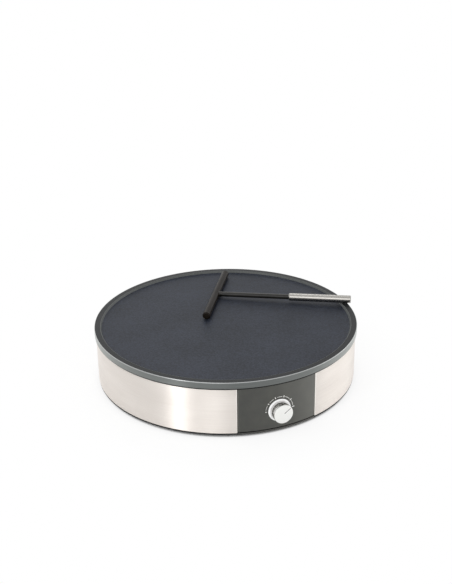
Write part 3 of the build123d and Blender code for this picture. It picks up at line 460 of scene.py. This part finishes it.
# the knob and the scale round it
ring_white = lit_and_painted_glow_finish(
    "light_ring_white", (0.88, 0.88, 0.885), (0.94, 0.94, 0.945), 0.29, glow=0.08
)
# the collar's glow is painted light that lifts the shade the knob casts on it
collar_painted_glow = lit_and_painted_glow_finish(
    "collar_painted_glow", (0.50, 0.50, 0.50), (0.56, 0.56, 0.56), 0.32, glow=0.40
)
knob_chrome = drawn_metal("knob_chrome", (0.54, 0.53, 0.52), (0.70, 0.69, 0.68), 0.08)
knob_satin = drawn_metal(
    "knob_satin", (0.86, 0.86, 0.84), (0.94, 0.94, 0.92), 0.38, stretch=(1.0, 1.0, 40.0)
)
pointer_ink = moulded("pointer_ink", (0.13, 0.13, 0.13), (0.18, 0.18, 0.18), 0.5)
mark_ink = moulded("mark_ink", (0.80, 0.80, 0.78), (0.88, 0.88, 0.86), 0.5)

# the spreader
spreader_plastic = moulded(
    "spreader_plastic", (0.009, 0.007, 0.005), (0.016, 0.012, 0.010), 0.30, specular=0.08
)
rod_coating = moulded(
    "rod_coating", (0.006, 0.006, 0.005), (0.014, 0.013, 0.011), 0.30,
    grain=2200.0, specular=0.35,
)
handle_steel = drawn_metal(
    "handle_steel", (0.35, 0.338, 0.318), (0.40, 0.388, 0.366), 0.26,
    scale=200.0, height=0.0001 * MM,
)

# underneath and inside
plated_steel = drawn_metal("plated_steel", (0.50, 0.51, 0.52), (0.62, 0.63, 0.64), 0.32)
shield_steel = drawn_metal(
    "shield_steel", (0.46, 0.47, 0.48), (0.60, 0.61, 0.62), 0.40, scale=80.0
)
heater_steel = drawn_metal(
    "heater_steel", (0.10, 0.095, 0.09), (0.20, 0.18, 0.16), 0.50, scale=120.0
)
brass = drawn_metal("brass", (0.60, 0.44, 0.18), (0.75, 0.58, 0.28), 0.30)
copper = drawn_metal("copper", (0.62, 0.30, 0.18), (0.78, 0.42, 0.28), 0.32)
ceramic = moulded("ceramic", (0.66, 0.62, 0.53), (0.74, 0.70, 0.61), 0.35, grain=400.0)
board_green = moulded(
    "board_green", (0.015, 0.10, 0.035), (0.025, 0.15, 0.05), 0.35, grain=300.0
)
lamp_white = moulded("lamp_white", (0.80, 0.78, 0.62), (0.88, 0.86, 0.70), 0.25)
block_white = moulded("block_white", (0.72, 0.72, 0.68), (0.80, 0.80, 0.76), 0.45)
sleeve_clear = moulded("sleeve_clear", (0.60, 0.60, 0.56), (0.70, 0.70, 0.66), 0.30)
lead_brown = moulded("lead_brown", (0.09, 0.035, 0.015), (0.12, 0.05, 0.02), 0.5)
lead_black = moulded("lead_black", (0.012, 0.012, 0.012), (0.02, 0.02, 0.02), 0.5)
lead_blue = moulded("lead_blue", (0.02, 0.07, 0.30), (0.03, 0.10, 0.38), 0.5)
lead_earth = striped_finish("lead_earth", (0.10, 0.32, 0.02), (0.75, 0.62, 0.03))

# what the solids that are shown as they are get
cad_finishes = {
    base_plastic: ("base_pan", "cord_gland", "gland_nut", "cord_clamp"),
    ring_plastic: ("support_ring",),
    foot_rubber: ("rubber_feet",),
    shield_steel: ("heat_shield",),
    heater_steel: ("heating_element",),
    plated_steel: (
        "heater_terminals", "plate_spacers", "plate_screws", "bulb_clip", "sensor_screws",
        "ring_screws", "panel_screws", "thermostat_bracket", "thermostat_screws",
        "thermostat_shaft", "shaft_clip", "block_screws", "clamp_screws",
    ),
    brass: ("earth_tag", "earth_screw", "thermostat_terminals", "terminal_screws"),
    copper: ("sensor_bulb", "capillary_tube"),
    ceramic: ("thermal_cutout", "thermostat_body"),
    board_green: ("light_board",),
    lamp_white: ("board_lamps",),
    block_white: ("terminal_block",),
    sleeve_clear: ("lead_connectors",),
    lead_brown: ("live_lead",),
    lead_black: ("switched_lead", "element_lead"),
    lead_blue: ("neutral_lead",),
    lead_earth: ("earth_lead",),
}
for finish, nodes in cad_finishes.items():
    for node in nodes:
        for material_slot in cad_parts[node].material_slots:
            material_slot.material = finish


# ================================================================ hot plate
RIM_FOOT_RADIUS = 188.5 * MM
RIM_INNER_RADIUS = 190.8 * MM
WALL_INNER_RADIUS = 194.0 * MM
RIB_OUTER_RADIUS = 188.6 * MM
RIB_INNER_RADIUS = 186.6 * MM
RIB_HEIGHT = 4.0 * MM
RIM_FILLET = 3.0 * MM
RIM_INNER_CORNER = 0.8 * MM
OUTER_CORNER = 0.9 * MM

# where one finish of the plate's skin goes over to the next, painted highlights and painted shade among
# them
HIGHLIGHT_LINE_WIDTH = 0.6 * MM
HIGHLIGHT_LINE_DEPTH = 0.95 * MM
WALL_DEPTH = 0.35 * MM
LOWER_CORNER_HEIGHT = 0.8 * MM
SHADE_LINE_WIDTH = 6.5 * MM
RIM_WIDTH = 8.5 * MM
FILLET_HEIGHT = 1.0 * MM
RIM_TOP_DEPTH = 0.6 * MM


def plate_finish(place):
    """The finish of the plate's skin at a place on it."""
    inward = PLATE_RADIUS - hypot(place.x, place.y)
    # the outer top edge: a painted highlight line
    if inward < HIGHLIGHT_LINE_WIDTH and place.z > RIM_TOP - HIGHLIGHT_LINE_DEPTH:
        return plate_corner_painted_highlight
    if inward < WALL_DEPTH and place.z > EDGE_BOTTOM + LOWER_CORNER_HEIGHT:
        return plate_edge
    # painted shade: the lower corner and the underside by the wall get dark plastic, a shadow line
    # under the edge
    if inward < SHADE_LINE_WIDTH and place.z < EDGE_BOTTOM + LOWER_CORNER_HEIGHT:
        return ring_plastic
    # the rim's inner wall: painted highlight
    if inward > RIM_WIDTH and place.z > SURFACE + FILLET_HEIGHT:
        return rim_wall_painted_highlight
    if place.z > RIM_TOP - RIM_TOP_DEPTH:
        return rim_coating
    return nonstick


def cast_plate():
    """The cooking plate: flat surface, filleted rim, turned outer wall and rib underneath."""
    corners = [
        (0.0, PLATE_BOTTOM), (0.0, SURFACE), (RIM_FOOT_RADIUS, SURFACE),
        (RIM_INNER_RADIUS, RIM_TOP), (PLATE_RADIUS, RIM_TOP), (PLATE_RADIUS, EDGE_BOTTOM),
        (WALL_INNER_RADIUS, EDGE_BOTTOM), (WALL_INNER_RADIUS, PLATE_BOTTOM),
        (RIB_OUTER_RADIUS, PLATE_BOTTOM), (RIB_OUTER_RADIUS, PLATE_BOTTOM - RIB_HEIGHT),
        (RIB_INNER_RADIUS, PLATE_BOTTOM - RIB_HEIGHT), (RIB_INNER_RADIUS, PLATE_BOTTOM),
    ]
    radii = [0, 0, RIM_FILLET, RIM_INNER_CORNER, OUTER_CORNER, OUTER_CORNER, 0, 0, 0, 0, 0, 0]
    bm = turned(rounded(corners, radii, steps=6), ORIGIN, UP, RIGHT, DRUM_STEPS)
    map_round_drum(bm)
    finishes = [nonstick, plate_edge, plate_corner_painted_highlight, rim_coating, rim_wall_painted_highlight, ring_plastic]
    for face in bm.faces:
        face.material_index = finishes.index(plate_finish(face.calc_center_median()))
    plate = piece("cast_plate", bm, nonstick, "appliance")
    for finish in finishes[1:]:
        plate.data.materials.append(finish)
    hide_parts("cooking_plate")


# ================================================================ drum
WALL_RETURN = 6.0 * MM

# a face of the band is brushed where its normal's share straight out is at least this
STRAIGHT_OUT = 0.995


def band():
    """The brushed band: one strip round the drum, turned in beside the panel; its polished edges have
    painted highlight.
    """
    start = FRONT + PANEL_HALF_ANGLE
    sweep = 2 * pi - 2 * PANEL_HALF_ANGLE
    path = drum_path(DRUM_RADIUS, start, sweep, WALL_RETURN, corner=1.6 * MM, steps=DRUM_STEPS)
    strip = wall_piece(
        "brushed_steel_band", ribbon(path, BAND_BOTTOM, BAND_TOP), brushed_band,
        thickness=0.8 * MM, easing=0.22 * MM,
    )
    strip.data.materials.append(polished_hem_and_highlight)
    for face in strip.data.polygons:
        outward = Vector((face.center.x, face.center.y, 0.0)).normalized()
        if abs(face.normal.dot(outward)) < STRAIGHT_OUT:
            face.material_index = 1
    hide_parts("steel_band")


def panel_path(radius, return_depth, corner):
    """A path in plan along the panel's wall, a hair clear of the band at both ends."""
    half = PANEL_HALF_ANGLE - PANEL_GAP_ANGLE
    return drum_path(radius, FRONT - half, 2 * half, return_depth, corner, PANEL_STEPS)


def panel():
    """The control panel's moulded shell."""
    path = panel_path(DRUM_RADIUS, WALL_RETURN, corner=0.6 * MM)
    shell = wall_piece(
        "panel_shell", ribbon(path, PANEL_BOTTOM, BAND_TOP), panel_plastic,
        thickness=2.8 * MM, easing=0.3 * MM,
    )
    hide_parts("control_panel")


def lip_sill():
    """The thin sill, in the panel's plastic, on the base's lip below the panel."""
    proud = 0.05 * MM
    height = 2.0 * MM
    gap = 0.3 * MM
    path = panel_path(DRUM_RADIUS + proud, return_depth=1.0 * MM, corner=0.3 * MM)
    sill = wall_piece(
        "lip_sill", ribbon(path, BAND_BOTTOM - height, BAND_BOTTOM - gap), panel_plastic,
        thickness=0.4 * MM, easing=0.1 * MM,
    )


# ================================================================ knob and its ring
# radii about the knob's axis and distances out from the drum's axis, both in millimetres
SEAT_OUT = 195.2
KNOB_RADIUS = 14.1
DISC_BACK = 210.3


def knob_piece(name, corners, radii, material, body, node):
    """A piece turned about the knob's axis, from corners of (radius, distance out)."""
    outline = rounded([(r * MM, out * MM) for r, out in corners], [radius * MM for radius in radii])
    bm = turned(outline, KNOB_CENTRE, OUTWARD, RIGHT, KNOB_STEPS)
    turned_piece = piece(name, bm, material, body)
    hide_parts(node)


def lamp_ring():
    """The milky ring that lights up round the knob."""
    inner = 14.6
    outer = 16.9
    front = 198.9
    inner_easing = 0.3
    outer_easing = 0.6
    knob_piece(
        "lamp_ring",
        [(inner, SEAT_OUT), (inner, front), (outer, front), (outer, SEAT_OUT)],
        [0, inner_easing, outer_easing, 0],
        ring_white, "appliance", "light_ring",
    )


def ring_collar():
    """The satin collar between the ring and the knob, with a painted glow that lifts its shade."""
    bore = 4.0
    outer = 14.5
    front = 198.4
    easing = 0.2
    knob_piece(
        "ring_collar",
        [(bore, SEAT_OUT), (bore, front), (outer, front), (outer, SEAT_OUT)],
        [0, 0, easing, 0],
        collar_painted_glow, "appliance", "knob_collar",
    )


def knob_shell():
    """The knob's chrome shell, drawn in to a fine groove behind the disc."""
    skirt_inner = 12.2
    skirt_back = 198.9
    taper_start = 207.3
    groove_radius = 13.4
    groove_back = 209.4
    shaft_bore = 3.0
    hub_radius = 6.0
    hub_back = 199.5
    hollow_end = 207.1
    easings = (0.2, 0.3, 0.4, 0.15)
    knob_piece(
        "knob_shell",
        [
            (skirt_inner, skirt_back), (KNOB_RADIUS, skirt_back), (KNOB_RADIUS, taper_start),
            (groove_radius, groove_back), (groove_radius, DISC_BACK), (shaft_bore, DISC_BACK),
            (shaft_bore, hub_back), (hub_radius, hub_back), (hub_radius, hollow_end),
            (skirt_inner, hollow_end),
        ],
        [*easings, 0, 0, 0, 0, 0, 0],
        knob_chrome, "temperature_knob", "knob_body",
    )


def knob_disc():
    """The satin disc on the knob's face, with a soft edge."""
    front = 211.8
    back_easing = 0.15
    front_easing = 0.6
    knob_piece(
        "knob_disc",
        [(0.0, DISC_BACK), (KNOB_RADIUS, DISC_BACK), (KNOB_RADIUS, front), (0.0, front)],
        [0, back_easing, front_easing, 0],
        knob_satin, "temperature_knob", "knob_cap",
    )


def knob_line():
    """The pointer line, a shallow inlay that starts near the middle and ends near the disc's edge."""
    length = 11.1 * MM
    width = 1.0 * MM
    middle = 7.05 * MM
    depth = 0.3 * MM
    proud = 0.02 * MM
    bm = bmesh.new()
    bmesh.ops.create_grid(bm, x_segments=1, y_segments=1, size=0.5)
    bmesh.ops.scale(bm, verts=bm.verts, vec=(length, width, 1.0))
    bmesh.ops.translate(bm, verts=bm.verts, vec=(middle, 0.0, 0.0))
    bmesh.ops.solidify(bm, geom=bm.faces[:], thickness=depth)
    for angle, axis in ((KNOB_REST_ANGLE, "Z"), (pi / 2, "X")):
        turn = Matrix.Rotation(angle, 3, axis)
        bmesh.ops.rotate(bm, verts=bm.verts, cent=ORIGIN, matrix=turn)
    top = min(vert.co.y for vert in bm.verts)
    lift = Vector((0.0, -KNOB_FACE - proud - top, KNOB_CENTRE.z))
    bmesh.ops.translate(bm, verts=bm.verts, vec=lift)
    bmesh.ops.recalc_face_normals(bm, faces=bm.faces)
    line = piece("knob_line", bm, pointer_ink, "temperature_knob")
    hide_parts("knob_pointer")


# ================================================================ the printed scale
PRINT_LIFT = 0.02 * MM
PRINT_THICKNESS = 0.05 * MM
TICKS = 6
FIRST_TICK_DEGREES = 180.0
TICK_SPACING_DEGREES = 36.0
TICK_HALF_ANGLE = radians(1.7)
TICK_FOOT = 19.4 * MM
TICK_TIP = 21.0 * MM
TICK_GROWTH = 0.4 * MM
ARC_FOOT = 20.3 * MM
ARC_WIDTH = 0.34 * MM
ARC_GROWTH = 0.08 * MM
ARC_GAP_ANGLE = radians(7.0)


def on_panel(radius, angle, lift):
    """A point on the panel's wall at a radius and an angle round the knob's axis."""
    x = radius * cos(angle)
    out = DRUM_RADIUS + lift
    return Vector((x, -sqrt(out * out - x * x), KNOB_CENTRE.z + radius * sin(angle)))


def scale_mark(start, end, inner, outer_start, outer_end, steps):
    """A printed mark that follows the panel's wall, between two angles and two radii."""
    bm = bmesh.new()
    near, far = [], []
    for step in range(steps + 1):
        share = step / steps
        angle = start + (end - start) * share
        outer = outer_start + (outer_end - outer_start) * share
        near.append(bm.verts.new(on_panel(inner, angle, PRINT_LIFT)))
        far.append(bm.verts.new(on_panel(outer, angle, PRINT_LIFT)))
    edges = [bm.edges.new(pair) for chain in (near, far) for pair in zip(chain, chain[1:])]
    bmesh.ops.bridge_loops(bm, edges=edges)
    bmesh.ops.solidify(bm, geom=bm.faces[:], thickness=PRINT_THICKNESS)
    bmesh.ops.recalc_face_normals(bm, faces=bm.faces)
    return bm


def heat_scale():
    """The scale round the ring: six ticks, and between them arcs that thicken towards the hot end."""
    tick_angles = [radians(FIRST_TICK_DEGREES - TICK_SPACING_DEGREES * k) for k in range(TICKS)]
    for number, angle in enumerate(tick_angles):
        start = angle - TICK_HALF_ANGLE
        end = angle + TICK_HALF_ANGLE
        tip = TICK_TIP + TICK_GROWTH * number
        bm = scale_mark(start, end, TICK_FOOT, tip, tip, steps=2)
        tick = piece(f"scale_tick_{number}", bm, mark_ink, "appliance")
    for number, (start, end) in enumerate(zip(tick_angles, tick_angles[1:])):
        thin = ARC_FOOT + ARC_WIDTH + ARC_GROWTH * number
        thick = thin + ARC_GROWTH
        bm = scale_mark(
            start - ARC_GAP_ANGLE, end + ARC_GAP_ANGLE, ARC_FOOT, thin, thick, steps=14
        )
        arc = piece(f"scale_arc_{number}", bm, mark_ink, "appliance")


# ================================================================ batter spreader
SPREADER_ANGLE = radians(-32.0)
SPREADER_TILT = radians(1.17)
HEAD_RADIUS = 6.0 * MM
HEAD_LENGTH = 170.0 * MM
HEAD_CHAMFER = 1.6 * MM
HEAD_CLEARANCE = 0.3 * MM
HEAD_CENTRE = Vector((19.6 * MM, 89.0 * MM, SURFACE + HEAD_RADIUS + HEAD_CLEARANCE))
LEVEL = Vector((cos(SPREADER_ANGLE), sin(SPREADER_ANGLE), 0.0))
ALONG = LEVEL * cos(SPREADER_TILT) + UP * sin(SPREADER_TILT)
ACROSS = UP.cross(LEVEL)
ROD_RADIUS = 4.0 * MM
ROD_START = 4.0 * MM
ROD_IN_GRIP = 6.0 * MM
GRIP_RADIUS = 6.0 * MM
GRIP_WALL = 1.2 * MM
GRIP_CHAMFER = 1.2 * MM
GRIP_FIT = 0.02 * MM
HANDLE_START = 118.0 * MM
HANDLE_END = 216.0 * MM
PLUG_DEPTH = 8.4 * MM
PLUG_FACE = 215.6 * MM


def spreader_piece(name, corners, radii, axis, radial, material, node):
    """A piece of the spreader turned about its own axis, from (distance from it, distance along it)."""
    bm = turned(rounded(corners, radii), HEAD_CENTRE, axis, radial, SPREADER_STEPS)
    turned_piece = piece(name, bm, material, "batter_spreader")
    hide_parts(node)


def spreader_bar():
    """The bar that spreads the batter, with chamfered ends."""
    end = HEAD_LENGTH / 2
    face_radius = HEAD_RADIUS - HEAD_CHAMFER
    side_end = end - HEAD_CHAMFER
    easing = 0.3 * MM
    spreader_piece(
        "spreader_bar",
        [
            (0.0, -end), (face_radius, -end), (HEAD_RADIUS, -side_end),
            (HEAD_RADIUS, side_end), (face_radius, end), (0.0, end),
        ],
        [0, easing, easing, easing, easing, 0],
        ACROSS, LEVEL, spreader_plastic, "spreader_head",
    )


def spreader_shaft():
    """The coated rod that runs from the bar into the grip."""
    end = HANDLE_START + ROD_IN_GRIP
    spreader_piece(
        "spreader_shaft",
        [(0.0, ROD_START), (ROD_RADIUS, ROD_START), (ROD_RADIUS, end), (0.0, end)],
        [0, 0, 0, 0],
        ALONG, ACROSS, rod_coating, "spreader_rod",
    )


def spreader_grip():
    """The steel grip: a sleeve with a chamfered front end and a wider bore for the plug behind."""
    bore = GRIP_RADIUS - GRIP_WALL
    rod_hole = ROD_RADIUS + GRIP_FIT
    bore_end = HANDLE_END - PLUG_DEPTH
    front_easing = 0.4 * MM
    end_easing = 0.7 * MM
    bore_easing = 0.1 * MM
    spreader_piece(
        "spreader_grip",
        [
            (rod_hole, HANDLE_START), (GRIP_RADIUS - GRIP_CHAMFER, HANDLE_START),
            (GRIP_RADIUS, HANDLE_START + GRIP_CHAMFER), (GRIP_RADIUS, HANDLE_END),
            (bore, HANDLE_END), (bore, bore_end), (rod_hole, bore_end),
        ],
        [0, front_easing, front_easing, end_easing, bore_easing, 0, 0],
        ALONG, ACROSS, handle_steel, "spreader_handle",
    )


def grip_plug():
    """The plug that closes the grip's end."""
    bore = GRIP_RADIUS - GRIP_WALL
    back = HANDLE_END - PLUG_DEPTH
    easing = 0.3 * MM
    spreader_piece(
        "grip_plug",
        [(0.0, back), (bore, back), (bore, PLUG_FACE), (0.0, PLUG_FACE)],
        [0, 0, easing, 0],
        ALONG, ACROSS, spreader_plastic, "handle_cap",
    )


# ================================================================ studio
CAMERA_AZIMUTH = radians(-21.668)
CAMERA_ELEVATION = radians(24.013)
CAMERA_DISTANCE = 1.5002
CAMERA_ROLL = radians(-0.845)
CAMERA_LENS = 61.07
SENSOR_WIDTH = 36.0
FARTHEST_SEEN = 100.0
LOOK_AT_HEIGHT = 133.83 * MM
LOOK_AT_RIGHT = 1.243 * MM

# each lamp's name, bearing and height in degrees, distance, width and height in metres, and watts
LAMPS = (
    ("strip_light", -60.5, 24.0, 2.6, 0.36, 2.0, 14.0),
    ("front_softbox", -33.0, 30.0, 2.8, 0.8, 1.4, 7.0),
    ("right_softbox", 80.0, 12.0, 2.4, 2.0, 0.8, 6.3),
    ("rear_softbox", 170.0, 52.0, 2.2, 1.0, 0.6, 5.0),
)
AMBIENT = 0.82

FLOOR_RADIUS = 12.0
FADE_REACH = 0.4
SHADE_END = 193.2 * MM
SHOULDER = 196.0 * MM
SHOULDER_BRIGHTNESS = 0.80
WHITE_FROM = 320.0 * MM
MIRRORED_SHADE_END = 200.0 * MM
MIRRORED_WHITE_FROM = 360.0 * MM


def camera():
    """The camera, at the object's three-quarter view from the front left."""
    right = Vector((cos(CAMERA_AZIMUTH), sin(CAMERA_AZIMUTH), 0.0))
    back = Vector((
        sin(CAMERA_AZIMUTH) * cos(CAMERA_ELEVATION),
        -cos(CAMERA_AZIMUTH) * cos(CAMERA_ELEVATION),
        sin(CAMERA_ELEVATION),
    ))
    upward = back.cross(right)
    turn = Matrix((right, upward, back)).transposed().to_4x4()
    data = bpy.data.cameras.new("studio_camera")
    data.lens = CAMERA_LENS
    data.sensor_width = SENSOR_WIDTH
    data.sensor_fit = "AUTO"
    data.clip_end = FARTHEST_SEEN
    obj = bpy.data.objects.new("studio_camera", data)
    place = right * LOOK_AT_RIGHT + UP * LOOK_AT_HEIGHT + back * CAMERA_DISTANCE
    obj.matrix_world = Matrix.Translation(place) @ turn @ Matrix.Rotation(CAMERA_ROLL, 4, "Z")
    bpy.context.scene.collection.objects.link(obj)
    bpy.context.scene.camera = obj


def softbox(name, azimuth, elevation, distance, width, height, power):
    """A soft area lamp that points at the drum, placed by its bearing from the front."""
    data = bpy.data.lights.new(name, "AREA")
    data.shape = "RECTANGLE"
    data.size = width
    data.size_y = height
    data.energy = power
    obj = bpy.data.objects.new(name, data)
    bearing = radians(azimuth)
    raised = radians(elevation)
    direction = Vector((sin(bearing) * cos(raised), -cos(bearing) * cos(raised), sin(raised)))
    place = direction * distance
    turn = place.to_track_quat("Z", "Y").to_matrix().to_4x4()
    obj.matrix_world = Matrix.Translation(place) @ turn
    bpy.context.scene.collection.objects.link(obj)


def seen_directly(tree):
    """1 for rays that show the surroundings themselves, straight, mirrored or through glass."""
    rays = tree.nodes.new("ShaderNodeLightPath")
    seen = calculated(tree, "MAXIMUM", rays.outputs["Is Camera Ray"], rays.outputs["Is Glossy Ray"])
    return calculated(tree, "MAXIMUM", seen, rays.outputs["Is Transmission Ray"])


def white_room():
    """White surroundings: full white where they are seen, gentler where they light the object."""
    world = bpy.data.worlds.new("white_room")
    bpy.context.scene.world = world
    world.use_nodes = True
    tree = world.node_tree
    background = tree.nodes["Background"]
    background.inputs["Color"].default_value = (1.0, 1.0, 1.0, 1.0)
    spread_over(tree, seen_directly(tree), AMBIENT, 1.0, background.inputs["Strength"])


def faded(tree, share, start, end):
    """A ramp from black to white between two distances, over a distance's share of the reach."""
    ramp = tree.nodes.new("ShaderNodeValToRGB")
    ramp.color_ramp.elements[0].position = start / FADE_REACH
    ramp.color_ramp.elements[1].position = end / FADE_REACH
    tree.links.new(share, ramp.inputs["Fac"])
    return ramp


def floor_finish():
    """White paper that keeps the drum's shadow and goes over to the plain white of the surroundings.

    The camera sees the change at the drum's lip. The drum's own reflections see it farther out,
    so that the lower part of the wall mirrors the shadow under it.
    """
    material, tree, surface = new_finish("floor_white")
    surface.inputs["Base Color"].default_value = (0.98, 0.98, 0.98, 1.0)
    surface.inputs["Roughness"].default_value = 0.9
    surface.inputs["Specular IOR Level"].default_value = 0.0
    where = tree.nodes.new("ShaderNodeTexCoord")
    distance = tree.nodes.new("ShaderNodeVectorMath")
    distance.operation = "LENGTH"
    tree.links.new(where.outputs["Object"], distance.inputs[0])
    share = calculated(tree, "DIVIDE", distance.outputs["Value"], FADE_REACH)
    seen = faded(tree, share, SHADE_END, WHITE_FROM)
    shoulder = seen.color_ramp.elements.new(SHOULDER / FADE_REACH)
    shoulder.color = (SHOULDER_BRIGHTNESS, SHOULDER_BRIGHTNESS, SHOULDER_BRIGHTNESS, 1.0)
    mirrored = faded(tree, share, MIRRORED_SHADE_END, MIRRORED_WHITE_FROM)
    rays = tree.nodes.new("ShaderNodeLightPath")
    fade = tree.nodes.new("ShaderNodeMix")
    tree.links.new(rays.outputs["Is Camera Ray"], fade.inputs["Factor"])
    tree.links.new(mirrored.outputs["Color"], fade.inputs["A"])
    tree.links.new(seen.outputs["Color"], fade.inputs["B"])
    plain = calculated(tree, "MULTIPLY", fade.outputs["Result"], seen_directly(tree))
    paper = tree.nodes.new("ShaderNodeEmission")
    mix = tree.nodes.new("ShaderNodeMixShader")
    tree.links.new(plain, mix.inputs[0])
    tree.links.new(surface.outputs["BSDF"], mix.inputs[1])
    tree.links.new(paper.outputs["Emission"], mix.inputs[2])
    tree.links.new(mix.outputs["Shader"], tree.nodes["Material Output"].inputs["Surface"])
    return material


def floor():
    """The floor that the drum stands on."""
    bm = bmesh.new()
    bmesh.ops.create_circle(bm, cap_ends=True, segments=96, radius=FLOOR_RADIUS)
    mesh = bpy.data.meshes.new("floor")
    bm.to_mesh(mesh)
    bm.free()
    obj = bpy.data.objects.new("floor", mesh)
    bpy.context.scene.collection.objects.link(obj)
    mesh.materials.append(floor_finish())


cast_plate()
band()
panel()
lip_sill()
lamp_ring()
ring_collar()
knob_shell()
knob_disc()
knob_line()
heat_scale()
spreader_bar()
spreader_shaft()
spreader_grip()
grip_plug()
camera()
white_room()
for lamp in LAMPS:
    softbox(*lamp)
floor()

view = bpy.context.scene.view_settings
view.view_transform = "Standard"
